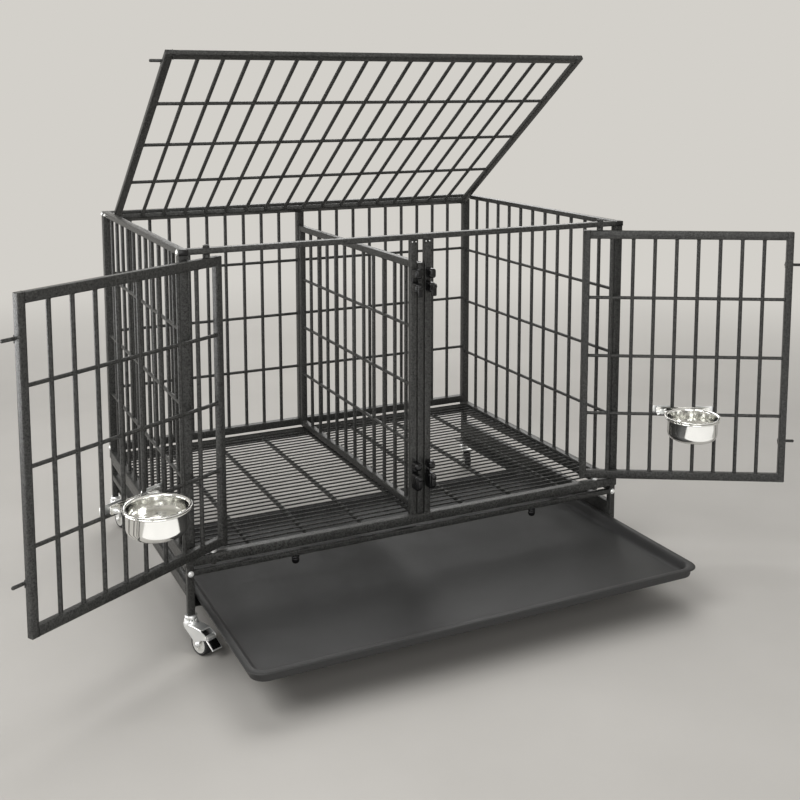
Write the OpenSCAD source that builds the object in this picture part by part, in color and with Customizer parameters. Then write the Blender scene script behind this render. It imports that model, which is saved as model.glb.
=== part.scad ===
// Two-door dog crate on casters, with a divider, a lifting lid and a pull-out tray.
// X runs along the width, Y from front to back and Z up. The origin is on the ground,
// under the middle of the part as it stands: both doors open, lid half raised, tray drawn out.

/* [Cage] */
// Width of the cage over its side panels
crate_w = 1090; // [1000:10:1200]
// Depth of the cage from front to back
crate_d = 770; // [700:10:840]
// Height of the top rails above the ground
crate_h = 845; // [800:5:900]
// Height of the underside of the cage above the ground
cage_z = 182; // [175:1:190]
// Width of the square posts and rails
post_w = 20; // [18:1:24]
// Height of the flat top rails
top_rail_h = 12; // [12:1:16]
// Wall of the tubes
tube_wall = 1.5; // [1:0.1:2]
// Diameter of the upright bars
bar_d = 9; // [8.5:0.5:11]
// Diameter of the level rods
rod_d = 8; // [5:0.5:8]
// Bars in each side panel
side_bars = 11; // [8:1:14]
// Bars in each half of the back panel
back_bars = 9; // [6:1:12]
// Level rods in each panel
rod_count = 3; // [2:1:4]
// Thickness of the end caps on the top rails
cap_t = 2; // [1:0.5:4]

/* [Base] */
// Width of the square legs and base rails
leg_w = 15; // [13:0.5:16]
// Length of leg that reaches up inside each post
leg_insert = 30; // [15:1:60]
// Height of the lower base rail above the ground
low_rail_z = 124; // [118:1:130]
// Width of the square tie bar between the front legs
tie_bar_w = 12; // [10:0.5:14]
// Height of the tie bar above the ground
tie_bar_z = 160; // [150:1:162]
// Thickness of the tray runners
runner_t = 2; // [1.5:0.1:2.5]
// Height of the runner ledges above the ground
runner_z = 86; // [82:1:90]
// Width of the runner ledges
runner_w = 27; // [20:1:35]
// Distance of each tie bar clip from the middle
clip_x = 302; // [150:1:450]
// Diameter of the tie bar clips
clip_d = 17; // [13:1:20]
// Height of the tie bar clips
clip_h = 18; // [10:1:20]

/* [Floor grid] */
// Width of the floor frame and its height
floor_bar = 10; // [8:1:12]
// Thickness of the cross bars under the wires
cross_bar = 8; // [5:0.5:8]
// Number of cross bars
cross_bars = 7; // [4:1:12]
// Diameter of the floor wires
wire_d = 4; // [3:0.5:5]
// Number of floor wires
wire_count = 34; // [24:1:40]
// Height of the floor frame above the underside of the cage
floor_lift = 2; // [0:0.5:4]

/* [Divider] */
// Width of the divider tubes
divider_w = 16; // [12:1:18]
// Distance of the top of the divider below the top of the cage
divider_drop = 65; // [45:5:195]
// Bars in the divider
divider_bars = 11; // [7:1:14]

/* [Doors] */
// Thickness of the doors
door_t = 15; // [12:0.5:16]
// Width of the upright door tubes
door_stile = 16; // [12:1:20]
// Height of the level door tubes
door_rail = 20; // [14:1:26]
// Gap between a door and the posts beside it
door_gap = 2; // [1.5:0.5:4]
// Gap under a door
door_low_gap = 6; // [4:0.5:10]
// Gap over a door
door_top_gap = 9; // [6:0.5:14]
// Bars in each door
door_bars = 8; // [6:1:10]
// Distance of the door pivots from the corner posts
hinge_inset = 40; // [36:1:60]
// Diameter of the door and lid pivot pins
pivot_d = 8; // [5:0.5:8]
// Diameter of the collars and heads on the door pivots
collar_d = 15; // [11:0.5:15]
// Height of the pivot heads
pivot_head = 6; // [2:0.5:6]
// Angle of the open doors from closed
door_open = 150; // [30:1:150]
// Width of the two middle posts
centre_post_w = 15; // [12:0.5:18]
// Gap between the two middle posts
centre_gap = 20; // [18:1:30]

/* [Latches] */
// Distance of the upper latch slots below the top of the cage
upper_latch_drop = 102; // [85:1:195]
// Height of the lower latch slots above the underside of the cage
lower_latch_rise = 125; // [108:1:218]
// Height of the latch slots
latch_slot = 10; // [9:1:24]
// Height of the block over the upper slot
upper_head = 21; // [10:1:25]
// Height of the block under the upper slot
upper_foot = 22; // [18:1:45]
// Height of the block over the lower slot
lower_head = 17; // [10:1:25]
// Height of the block under the lower slot
lower_foot = 36; // [18:1:55]
// Width of the latch housings
housing_w = 16; // [14:0.5:20]
// Depth of the latch housings in front of the posts
housing_d = 27; // [20:1:35]
// Length of the latch levers past their screws
lever_l = 22; // [20:1:34]
// Width of the latch levers
lever_w = 12; // [9:0.5:14]
// Thickness of the latch levers
lever_t = 5.7; // [3:0.1:8]
// Diameter of the lever screws
lever_screw_d = 6; // [4:0.5:7]
// Distance of each lever screw below its slot
lever_drop = 7; // [6.5:0.5:14]
// Diameter of the latch pins
latch_pin_d = 7; // [5:0.5:8]
// Length of latch pin past the edge that carries it
latch_pin_l = 24; // [18:1:24]
// Thickness of the weld plates under the latch pins
pin_plate_t = 2; // [1:0.5:3]
// Height of the weld plates under the latch pins
pin_plate_h = 15; // [10:1:20]

/* [Lid] */
// Gap round the closed lid
lid_gap = 2; // [1.5:0.5:4]
// Width of the lid tubes beside the bars
lid_stile = 18; // [12:1:24]
// Width of the lid tubes across the bars
lid_rail = 20; // [14:1:26]
// Bars in the lid
lid_bars = 17; // [12:1:22]
// Angle of the raised lid from closed
lid_open = 35; // [0:1:120]
// Distance of the lid pivots from the rear edge of the lid
lid_pivot_in = 28; // [22:1:50]
// Distance of the lid latch pin from the front edge of the lid
lid_pin_in = 45; // [20:1:80]

/* [Tray] */
// Gap between the tray rim and the runner beside it
tray_gap = 4.5; // [3:0.5:60]
// Length of the tray over its rim
tray_l = 735; // [600:1:740]
// Height of the tray
tray_h = 22; // [15:1:26]
// Thickness of the tray
tray_wall = 3; // [2:0.5:4]
// Width of the tray rim outside its walls
tray_rim = 7; // [4:0.5:12]
// Radius of the tray corners
tray_corner = 34; // [20:1:60]
// Distance that the tray is drawn out past the front
tray_out = 345; // [0:5:400]

/* [Bowls] */
// Diameter of a bowl over its rim
bowl_rim_d = 131; // [128:1:140]
// Diameter of a bowl under its rim
bowl_d = 118; // [100:1:118]
// Diameter of the flat bottom of a bowl
bowl_foot_d = 84; // [60:1:92]
// Height of a bowl
bowl_h = 55; // [45:1:70]
// Thickness of a bowl
bowl_wall = 1.2; // [0.8:0.1:2]
// Height of the bowl rims above the lowest level rod of a door
bowl_rise = 18; // [16:1:66]
// Shift of each bowl from the middle of its clamps
bowl_shift = 10; // [-5:1:15]
// Thickness of the holder ring wire
ring_wire = 6; // [4:0.5:6]
// Thickness of the holder strip and clamp plates
strip_t = 2; // [1.5:0.1:2.5]
// Height of the holder strip
strip_h = 18; // [14:1:24]
// Height of the holder strip above the bowl rim
strip_over = 2; // [0:0.5:4]
// Diameter of the clamp bolts
clamp_bolt_d = 6; // [4:0.5:8]
// Span of the wing nuts
wing_span = 28; // [18:1:32]

/* [Casters] */
// Height of the casters under the legs
caster_h = 76; // [74:1:80]
// Diameter of the wheels
wheel_d = 50; // [40:1:52]
// Width of the tyres
wheel_w = 20; // [14:0.5:24]
// Diameter of the hubs
hub_d = 38; // [26:1:40]
// Distance of the axle from the swivel axis
trail = 34; // [16:1:40]
// Thickness of the fork plates
fork_t = 2.2; // [1.5:0.1:3]
// Diameter of the axles
axle_d = 6; // [5:0.5:8]
// Diameter of the swivel pins
swivel_d = 10; // [8:0.5:11]
// Diameter of the swivel bearings
bearing_d = 30; // [26:1:34]
// Width of the brake pedals
pedal_w = 26; // [20:1:34]
// Length of the brake pedals
pedal_l = 26; // [18:1:34]
// Turn of the front casters from straight ahead
front_turn = 24; // [-40:1:40]
// Turn of the rear casters from straight ahead
rear_turn = -16; // [-40:1:40]

/* [Fits] */
// Clearance of pins in their bores, at the radius
run_gap = 0.05; // [0.02:0.01:0.1]
// Clearance of pieces that rest on or beside each other
seat_gap = 0.3; // [0.2:0.05:0.5]

/* [Hidden] */
$fn = 48;
half_w = crate_w / 2;
inner_x = half_w - post_w;
top_z = crate_h - top_rail_h;
sill_top = cage_z + post_w;
rear_y = crate_d - post_w / 2 + bearing_d / 2;
mid_y = (rear_y - tray_out) / 2;
cut = 1;

leg_x = half_w - post_w / 2;
leg_inner_x = leg_x - leg_w / 2;
leg_ys = [post_w / 2, crate_d - post_w / 2];
base_rail_y0 = leg_ys[0] + leg_w / 2;
base_rail_l = leg_ys[1] - leg_ys[0] - leg_w;
up_rail_z = cage_z - leg_w;
bolt_d = 10;
bolt_head_h = 3;

floor_z = cage_z + floor_lift;
wire_z = floor_z + floor_bar + seat_gap + wire_d / 2;
divider_z = sill_top + seat_gap;
divider_h = crate_h - divider_drop - divider_z;

centre_x = centre_gap / 2 + centre_post_w;
centre_y = post_w - centre_post_w;
divider_y = centre_y + seat_gap;
divider_l = crate_d - post_w - seat_gap - divider_y;
door_w = inner_x - centre_x - 2 * door_gap;
door_x = -inner_x + door_gap;
door_y = (post_w - door_t) / 2;
door_z = sill_top + door_low_gap;
door_h = top_z - door_top_gap - door_z;
door_pitch = (door_w - 2 * door_stile) / (door_bars + 1);
pivot_x = inner_x - hinge_inset;
pivot_y = post_w / 2;
free_x = door_x + door_w;
low_rod_z = door_z + door_rail + (door_h - 2 * door_rail) / (rod_count + 1);

upper_latch_z = crate_h - upper_latch_drop;
lower_latch_z = cage_z + lower_latch_rise;
housing_x = -centre_x;
housing_y = centre_y - housing_d;
lever_x = housing_x + housing_w / 2;
lever_y = housing_y - seat_gap - lever_t;
screw_head_d = lever_screw_d * 1.8;
screw_head_h = 2.5;

lid_w = 2 * (inner_x - lid_gap);
lid_y = post_w + lid_gap;
lid_l = crate_d - 2 * lid_y;
lid_mid_z = crate_h - top_rail_h / 2;
lid_pivot_y = lid_y + lid_l - lid_pivot_in;

tray_z = runner_z + runner_t + seat_gap;
tray_w = 2 * (leg_inner_x - runner_t - tray_gap);

mid_gap = floor(door_bars / 2);
clamp_xs = [for (k = [mid_gap - 1, mid_gap + 1]) door_x + door_stile + door_pitch * (k + 0.5)];
strip_mid_x = (clamp_xs[0] + clamp_xs[1]) / 2;
strip_end = 14;
strip_y = pivot_y + bar_d / 2 + seat_gap;
lip_t = 2;
bowl_z = low_rod_z + bowl_rise;
ring_z = bowl_z - lip_t - seat_gap - ring_wire / 2;
ring_r = bowl_d / 2 + seat_gap + ring_wire / 2;
ring_y = strip_y + strip_t + seat_gap + bowl_rim_d / 2;
ring_weld_w = 24;
strip_z = bowl_z + strip_over - strip_h;
clamp_z = low_rod_z + rod_d / 2 + clamp_bolt_d / 2 + 2 * seat_gap;
bowl_x = strip_mid_x + bowl_shift;
plate_l = door_pitch + bar_d / 2;
wing_h = 10;

wheel_r = wheel_d / 2;
hub_w = wheel_w + 1;
side_gap = 0.6;
plate_x = hub_w / 2 + side_gap;
crown_z = wheel_d + 6;
crown_t = 4;
crown_reach = bearing_d * 0.4;
bearing_z = crown_z + crown_t;
bearing_h = 8;
race_z = bearing_z + bearing_h + seat_gap;
rivet_h = 1.5;
pedal_pin_d = 4;
lug_d = 10;
pedal_pin_y = -trail - wheel_r;
pedal_pin_z = wheel_r + lug_d / 2 + wheel_r * 0.65;
pedal_t = 4;
pedal_tilt = 40;
caster_turns = [front_turn, -front_turn, -rear_turn, rear_turn];
caster_places = [[-leg_x, leg_ys[0]], [leg_x, leg_ys[0]], [-leg_x, leg_ys[1]], [leg_x, leg_ys[1]]];

coat = [0.23, 0.23, 0.22];
black = [0.09, 0.09, 0.09];
zinc = [0.72, 0.73, 0.74];
steel = [0.85, 0.86, 0.87];

// A closed square tube that fills a box
module tube(size) {
    difference() {
        cube(size);
        translate([tube_wall, tube_wall, tube_wall])
            cube([for (side = size) side - 2 * tube_wall]);
    }
}

// A rectangular tube frame that stands on the X axis
module tube_frame(width, height, stile, rail, depth) {
    for (x = [0, width - stile])
        translate([x, 0, 0])
            tube([stile, depth, height]);
    for (z = [0, height - rail])
        translate([stile, 0, z])
            tube([width - 2 * stile, depth, rail]);
}

// Upright bars crossed by level rods, filling a field that stands on the X axis
module grille(width, height, bars) {
    for (i = [1:bars])
        translate([width * i / (bars + 1), 0, 0])
            cylinder(d = bar_d, h = height);
    for (i = [1:rod_count])
        translate([0, 0, height * i / (rod_count + 1)])
            rotate([0, 90, 0])
                cylinder(d = rod_d, h = width);
}

// A rectangle with round corners, centred on the origin
module round_rect(width, length, radius) {
    square([width - 2 * radius, length], center = true);
    square([width, length - 2 * radius], center = true);
    for (x = [-1, 1], y = [-1, 1])
        translate([x * (width / 2 - radius), y * (length / 2 - radius)])
            circle(radius);
}

// A domed bolt head on a face that looks along -X
module bolt_head() {
    rotate([0, -90, 0])
        rotate_extrude()
            polygon([[0, 0], [bolt_d / 2, 0], [bolt_d / 2, bolt_head_h / 2],
                [bolt_d / 3, bolt_head_h], [0, bolt_head_h]]);
}

module both_sides() {
    children();
    mirror([1, 0, 0])
        children();
}

module other_side() {
    mirror([1, 0, 0])
        children();
}

// Places the model over its origin
module place() {
    translate([0, -mid_y, 0])
        children();
}

// Side panel, made for the left
module side_frame() {
    color(coat)
        difference() {
            translate([-half_w, 0, 0]) {
                for (y = [0, crate_d - post_w])
                    translate([0, y, cage_z])
                        difference() {
                            tube([post_w, post_w, top_z - cage_z]);
                            translate([tube_wall, tube_wall, -cut])
                                cube([post_w - 2 * tube_wall, post_w - 2 * tube_wall, leg_insert]);
                        }
                translate([0, post_w, cage_z])
                    tube([post_w, crate_d - 2 * post_w, post_w]);
                translate([0, 0, top_z])
                    tube([post_w, crate_d, top_rail_h]);
            }
            translate([-half_w - cut, lid_pivot_y, lid_mid_z])
                rotate([0, 90, 0])
                    cylinder(d = pivot_d + 2 * run_gap, h = post_w + 2 * cut);
        }
}

module side_bars() {
    color(coat)
        translate([-leg_x, post_w, sill_top])
            rotate([0, 0, 90])
                grille(crate_d - 2 * post_w, top_z - sill_top, side_bars);
}

module back_panel_frame() {
    color(coat)
        translate([-inner_x, crate_d - post_w, 0]) {
            translate([0, 0, sill_top])
                tube([2 * inner_x, post_w, post_w]);
            translate([0, 0, top_z])
                tube([2 * inner_x, post_w, top_rail_h]);
            translate([inner_x - post_w / 2, 0, sill_top + post_w])
                tube([post_w, post_w, top_z - sill_top - post_w]);
        }
}

module back_panel_bars() {
    color(coat)
        for (x = [-inner_x, post_w / 2])
            translate([x, crate_d - post_w / 2, sill_top + post_w])
                grille(inner_x - post_w / 2, top_z - sill_top - post_w, back_bars);
}

// Bores for the pivot pins of both doors
module pivot_bores(low, high) {
    for (x = [-pivot_x, pivot_x])
        translate([x, pivot_y, low - cut])
            cylinder(d = pivot_d + 2 * run_gap, h = high - low + 2 * cut);
}

module front_top_rail() {
    color(coat)
        difference() {
            translate([-inner_x, 0, top_z])
                tube([2 * inner_x, post_w, top_rail_h]);
            pivot_bores(top_z, crate_h);
        }
}

module front_bottom_rail() {
    color(coat)
        difference() {
            translate([-inner_x, 0, cage_z])
                tube([2 * inner_x, post_w, post_w]);
            pivot_bores(cage_z, sill_top);
        }
}

module centre_posts() {
    color(coat)
        for (x = [-centre_x, centre_gap / 2])
            translate([x, centre_y, sill_top])
                tube([centre_post_w, centre_post_w, top_z - sill_top]);
}

// Legs, base rails and the upright leaf of the runner, made for the left
module base_side() {
    color(coat) {
        for (y = leg_ys)
            translate([-leg_x - leg_w / 2, y - leg_w / 2, caster_h])
                difference() {
                    tube([leg_w, leg_w, cage_z + leg_insert - cut - tube_wall - caster_h]);
                    translate([leg_w / 2, leg_w / 2, -cut])
                        cylinder(d = swivel_d + 2 * run_gap, h = tube_wall + 2 * cut);
                }
        for (z = [low_rail_z, up_rail_z])
            translate([-leg_x - leg_w / 2, base_rail_y0, z])
                tube([leg_w, base_rail_l, leg_w]);
        translate([-leg_inner_x, leg_ys[0], runner_z])
            cube([runner_t, leg_ys[1] - leg_ys[0], low_rail_z + leg_w - runner_z]);
    }
}

module base_rear_rail() {
    color(coat)
        translate([-leg_inner_x, leg_ys[1] - leg_w / 2, up_rail_z])
            tube([2 * leg_inner_x, leg_w, leg_w]);
}

module front_tie_bar() {
    color(coat)
        translate([-leg_inner_x, leg_ys[0] - tie_bar_w / 2, tie_bar_z])
            tube([2 * leg_inner_x, tie_bar_w, tie_bar_w]);
}

module tray_runners() {
    color(coat)
        both_sides()
            translate([-leg_inner_x + runner_t, base_rail_y0, runner_z])
                cube([runner_w, base_rail_l, runner_t]);
}

module tray_clips() {
    color(black)
        for (x = [-clip_x, clip_x])
            translate([x, leg_ys[0], tie_bar_z - clip_h])
                rotate_extrude()
                    polygon([[0, 0], [clip_d * 0.36, 0], [clip_d / 2, clip_h * 0.3],
                        [clip_d / 2, clip_h], [0, clip_h]]);
}

module floor_frame() {
    frame_l = crate_d - 2 * post_w;
    color(coat)
        translate([0, post_w, floor_z]) {
            for (y = [0, frame_l - floor_bar])
                translate([-inner_x, y, 0])
                    cube([2 * inner_x, floor_bar, floor_bar]);
            for (x = [-inner_x, inner_x - floor_bar])
                translate([x, 0, 0])
                    cube([floor_bar, frame_l, floor_bar]);
            for (i = [1:cross_bars])
                translate([-inner_x + 2 * inner_x * i / (cross_bars + 1) - cross_bar / 2, 0,
                    floor_bar - cross_bar])
                    cube([cross_bar, frame_l, cross_bar]);
        }
}

module floor_wires() {
    span = crate_d - 2 * post_w - floor_bar;
    color(coat)
        for (i = [0:wire_count - 1])
            translate([-inner_x + seat_gap, post_w + floor_bar / 2 + span * i / (wire_count - 1), wire_z])
                rotate([0, 90, 0])
                    cylinder(d = wire_d, h = 2 * (inner_x - seat_gap));
}

// Turns what stands on the X axis so that it stands along the depth, over x = 0
module along_depth() {
    translate([0, divider_y, divider_z])
        rotate([0, 0, 90])
            children();
}

module divider_frame() {
    color(coat)
        along_depth()
            translate([0, -divider_w / 2, 0])
                tube_frame(divider_l, divider_h, divider_w, divider_w, divider_w);
}

module divider_bars() {
    color(coat)
        along_depth()
            translate([divider_w, 0, divider_w])
                grille(divider_l - 2 * divider_w, divider_h - 2 * divider_w, divider_bars);
}

// The blocks over and under one latch slot, made for the left
module housing(slot_z, head, foot) {
    for (part = [[slot_z + latch_slot / 2, head], [slot_z - latch_slot / 2 - foot, foot]])
        translate([housing_x, housing_y, part[0]])
            cube([housing_w, housing_d, part[1]]);
}

module latch_housings() {
    color(black)
        both_sides() {
            housing(upper_latch_z, upper_head, upper_foot);
            housing(lower_latch_z, lower_head, lower_foot);
        }
}

module rail_end_caps() {
    color(black)
        both_sides()
            for (y = [-cap_t, crate_d])
                translate([-half_w, y, top_z])
                    cube([post_w, cap_t, top_rail_h]);
}

function lever_z(slot_z) = slot_z - latch_slot / 2 - lever_drop;

// Screw that a latch lever turns on, made for the left
module lever_screw(slot_z) {
    translate([lever_x, housing_y, lever_z(slot_z)])
        rotate([90, 0, 0]) {
            cylinder(d = lever_screw_d, h = lever_t + 2 * seat_gap);
            translate([0, 0, lever_t + 2 * seat_gap])
                cylinder(d = screw_head_d, h = screw_head_h);
        }
}

module fasteners() {
    color(zinc)
        both_sides() {
            lever_screw(upper_latch_z);
            lever_screw(lower_latch_z);
            for (end = [[post_w / 2, lid_mid_z], [post_w / 2, cage_z + post_w / 2],
                [crate_d - post_w / 2, lid_mid_z], [crate_d - post_w / 2, sill_top + post_w / 2]])
                translate([-half_w, end[0], end[1]])
                    bolt_head();
            translate([-leg_x, leg_ys[0] - leg_w / 2, tie_bar_z + tie_bar_w / 2])
                rotate([0, 0, 90])
                    bolt_head();
        }
}

// Swings what is made for the closed left door to where that door stands
module door_swing() {
    translate([-pivot_x, pivot_y, 0])
        rotate([0, 0, -door_open])
            translate([pivot_x, -pivot_y, 0])
                children();
}

module door_frame() {
    color(coat)
        door_swing()
            translate([door_x, door_y, door_z])
                tube_frame(door_w, door_h, door_stile, door_rail, door_t);
}

module door_bars() {
    color(coat)
        door_swing()
            translate([door_x + door_stile, pivot_y, door_z + door_rail])
                grille(door_w - 2 * door_stile, door_h - 2 * door_rail, door_bars);
}

// A rod on a weld plate, lying along X on a face that looks along -Y and ends at x = 0
module latch_pin(plate_w) {
    translate([-plate_w, -pin_plate_t, -pin_plate_h / 2])
        cube([plate_w, pin_plate_t, pin_plate_h]);
    translate([-plate_w, -latch_pin_d / 2 - pin_plate_t / 4, 0])
        rotate([0, 90, 0])
            cylinder(d = latch_pin_d, h = plate_w + latch_pin_l);
}

module door_latch_pins() {
    color(coat)
        door_swing()
            for (z = [upper_latch_z, lower_latch_z])
                translate([free_x, door_y, z])
                    latch_pin(door_stile);
}

module door_pivots() {
    top = door_z + door_h;
    color(zinc)
        door_swing()
            translate([-pivot_x, pivot_y, 0]) {
                translate([0, 0, top])
                    cylinder(d = collar_d, h = door_top_gap - seat_gap);
                translate([0, 0, top])
                    cylinder(d = pivot_d, h = crate_h - top + seat_gap + pivot_head);
                translate([0, 0, crate_h + seat_gap])
                    cylinder(d = collar_d, h = pivot_head);
                translate([0, 0, sill_top + seat_gap])
                    cylinder(d = collar_d, h = door_low_gap - seat_gap);
                translate([0, 0, cage_z - seat_gap - pivot_head])
                    cylinder(d = pivot_d, h = door_z - cage_z + seat_gap + pivot_head);
                translate([0, 0, cage_z - seat_gap - pivot_head])
                    cylinder(d = collar_d, h = pivot_head);
            }
}

module bowl_holder() {
    color(steel)
        door_swing() {
            difference() {
                translate([clamp_xs[0] - strip_end, strip_y, strip_z])
                    cube([clamp_xs[1] - clamp_xs[0] + 2 * strip_end, strip_t, strip_h]);
                for (x = clamp_xs)
                    translate([x, strip_y - cut, clamp_z])
                        rotate([-90, 0, 0])
                            cylinder(d = clamp_bolt_d + 2 * run_gap, h = strip_t + 2 * cut);
            }
            translate([bowl_x, ring_y, ring_z])
                rotate_extrude()
                    translate([ring_r, 0])
                        circle(d = ring_wire);
            translate([bowl_x - ring_weld_w / 2, strip_y + strip_t / 2, ring_z - ring_wire / 4])
                cube([ring_weld_w, ring_y - ring_r - strip_y - strip_t / 2, ring_wire / 2]);
        }
}

// Plate and bolt that pull the strip against the bars, with a wing nut on the bolt
module clamp(x) {
    plate_y = pivot_y - bar_d / 2 - seat_gap - strip_t;
    nut_y = strip_y + strip_t + seat_gap;
    translate([x - plate_l / 2, plate_y, strip_z])
        cube([plate_l, strip_t, strip_h]);
    translate([x, plate_y, clamp_z])
        rotate([-90, 0, 0])
            cylinder(d = clamp_bolt_d, h = nut_y - plate_y + wing_h);
    translate([x, nut_y, clamp_z])
        rotate([-90, 0, 0])
            difference() {
                union() {
                    cylinder(d = clamp_bolt_d * 2, h = wing_h * 0.7);
                    translate([-wing_span / 2, -strip_t / 2, wing_h * 0.2])
                        cube([wing_span, strip_t, wing_h * 0.8]);
                }
                translate([0, 0, -cut])
                    cylinder(d = clamp_bolt_d + 2 * run_gap, h = wing_h + 2 * cut);
            }
}

module holder_clamps() {
    color(zinc)
        door_swing()
            for (x = clamp_xs)
                clamp(x);
}

// Outline of half a bowl: flat foot, round lower corner, straight flaring side and a flat rim
module bowl_half(inset) {
    foot_r = bowl_foot_d / 2;
    side_r = bowl_d / 2 - inset;
    corner = (bowl_d - bowl_foot_d) / 2 - inset;
    polygon(concat(
        [[0, inset]],
        [for (a = [-90:15:0]) [foot_r + corner * cos(a), inset + corner + corner * sin(a)]],
        [[side_r, bowl_h + (inset > 0 ? cut : 0)], [0, bowl_h + (inset > 0 ? cut : 0)]]));
}

module bowl() {
    color(steel)
        door_swing()
            translate([bowl_x, ring_y, bowl_z - bowl_h])
                difference() {
                    rotate_extrude()
                        union() {
                            bowl_half(0);
                            translate([0, bowl_h - lip_t])
                                square([bowl_rim_d / 2, lip_t]);
                        }
                    rotate_extrude()
                        bowl_half(bowl_wall);
                }
}

// Raises what is made for the closed lid to where the lid stands
module lid_swing() {
    translate([0, lid_pivot_y, lid_mid_z])
        rotate([-lid_open, 0, 0])
            translate([0, -lid_pivot_y, -lid_mid_z])
                children();
}

// Lays down what stands on the X axis, with its foot at the front edge of the lid
module lid_flat(z) {
    translate([0, lid_y, z])
        rotate([-90, 0, 0])
            children();
}

module lid_frame() {
    color(coat)
        lid_swing()
            lid_flat(crate_h)
                translate([-lid_w / 2, 0, 0])
                    tube_frame(lid_w, lid_l, lid_stile, lid_rail, top_rail_h);
}

module lid_bars() {
    color(coat)
        lid_swing()
            lid_flat(lid_mid_z)
                translate([-lid_w / 2 + lid_stile, 0, lid_rail])
                    grille(lid_w - 2 * lid_stile, lid_l - 2 * lid_rail, lid_bars);
}

module lid_latch_pin() {
    color(coat)
        lid_swing()
            other_side()
                lid_flat(crate_h)
                    translate([lid_w / 2, 0, lid_pin_in])
                        latch_pin(lid_stile);
}

module lid_pivots() {
    color(zinc)
        lid_swing()
            both_sides()
                translate([lid_w / 2, lid_pivot_y, lid_mid_z])
                    rotate([0, 90, 0]) {
                        cylinder(d = pivot_d, h = lid_gap + post_w + pivot_head);
                        cylinder(d = collar_d * 0.8, h = lid_gap - seat_gap);
                    }
}

module tray() {
    body_w = tray_w - 2 * tray_rim;
    body_l = tray_l - 2 * tray_rim;
    body_r = tray_corner - tray_rim;
    color([0.2, 0.2, 0.2])
        translate([0, tray_l / 2 - tray_out, tray_z])
            difference() {
                union() {
                    linear_extrude(tray_h)
                        round_rect(body_w, body_l, body_r);
                    translate([0, 0, tray_h - tray_wall])
                        linear_extrude(tray_wall)
                            round_rect(tray_w, tray_l, tray_corner);
                }
                translate([0, 0, tray_wall])
                    linear_extrude(tray_h)
                        round_rect(body_w - 2 * tray_wall, body_l - 2 * tray_wall, body_r - tray_wall);
            }
}

// Turn lever that hangs from its screw, made for the left
module latch_lever(slot_z) {
    color(black)
        translate([lever_x, lever_y, lever_z(slot_z)])
            rotate([-90, 0, 0])
                difference() {
                    linear_extrude(lever_t)
                        union() {
                            circle(d = lever_w);
                            translate([-lever_w / 2, 0])
                                square([lever_w, lever_l - lever_w / 2]);
                            translate([0, lever_l - lever_w / 2])
                                circle(d = lever_w);
                        }
                    translate([0, 0, -cut])
                        cylinder(d = lever_screw_d + 2 * run_gap, h = lever_t + 2 * cut);
                }
}

// Places a caster under one of the legs and turns it
module under_leg(i) {
    translate(concat(caster_places[i], 0))
        rotate([0, 0, caster_turns[i]])
            children();
}

// Fixed pin of a caster: stem in the leg, upper race, swivel pin and rivet head
module caster_stem() {
    translate([0, 0, crown_z - seat_gap - rivet_h])
        cylinder(d = swivel_d, h = cage_z - crown_z - leg_w);
    translate([0, 0, race_z])
        cylinder(d = bearing_d * 0.87, h = caster_h - race_z);
    translate([0, 0, crown_z - seat_gap - rivet_h])
        cylinder(d = swivel_d * 1.5, h = rivet_h);
}

module caster_stems() {
    color(zinc)
        for (i = [0:3])
            under_leg(i)
                caster_stem();
}

// Side plate of a fork, from the crown down to the axle and, with a brake, out to the pedal pin
module fork_plate(brake) {
    polygon([[bearing_d / 3, crown_z], [-trail - crown_reach, crown_z],
        [-trail - axle_d, wheel_r], [-trail + axle_d, wheel_r]]);
    translate([-trail, wheel_r])
        circle(axle_d);
    if (brake) {
        translate([pedal_pin_y, pedal_pin_z])
            circle(d = lug_d);
        polygon([[pedal_pin_y, pedal_pin_z + lug_d / 2], [pedal_pin_y, pedal_pin_z - lug_d / 2],
            [-trail, pedal_pin_z - lug_d], [-trail, crown_z]]);
    }
}

module fork(i, brake) {
    plate_span = plate_x + fork_t;
    color(zinc)
        under_leg(i)
            difference() {
                union() {
                    for (x = [-plate_span, plate_x])
                        translate([x, 0, 0])
                            rotate([90, 0, 90])
                                linear_extrude(fork_t)
                                    fork_plate(brake);
                    translate([-plate_span, -trail - crown_reach, crown_z])
                        cube([2 * plate_span, trail + crown_reach + bearing_d / 3, crown_t]);
                    translate([0, 0, crown_z])
                        cylinder(d = bearing_d, h = crown_t + bearing_h);
                    translate([-plate_span - fork_t, -trail, wheel_r])
                        rotate([0, 90, 0])
                            cylinder(d = axle_d, h = 2 * (plate_span + fork_t));
                    if (brake)
                        translate([-plate_span, pedal_pin_y, pedal_pin_z])
                            rotate([0, 90, 0])
                                cylinder(d = pedal_pin_d, h = 2 * plate_span);
                }
                translate([0, 0, crown_z - cut])
                    cylinder(d = swivel_d + 2 * run_gap, h = crown_t + bearing_h + 2 * cut);
            }
}

module hub(i) {
    color("white")
        under_leg(i)
            translate([0, -trail, wheel_r])
                rotate([0, 90, 0])
                    rotate_extrude()
                        polygon([[axle_d / 2 + run_gap, -hub_w / 2], [axle_d, -hub_w / 2],
                            [axle_d + 1, -hub_w / 3], [hub_d / 2 - 3, -hub_w / 3],
                            [hub_d / 2 - 2, -hub_w / 2.4], [hub_d / 2, -hub_w / 2.4],
                            [hub_d / 2, hub_w / 2.4], [hub_d / 2 - 2, hub_w / 2.4],
                            [hub_d / 2 - 3, hub_w / 3], [axle_d + 1, hub_w / 3],
                            [axle_d, hub_w / 2], [axle_d / 2 + run_gap, hub_w / 2]]);
}

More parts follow.
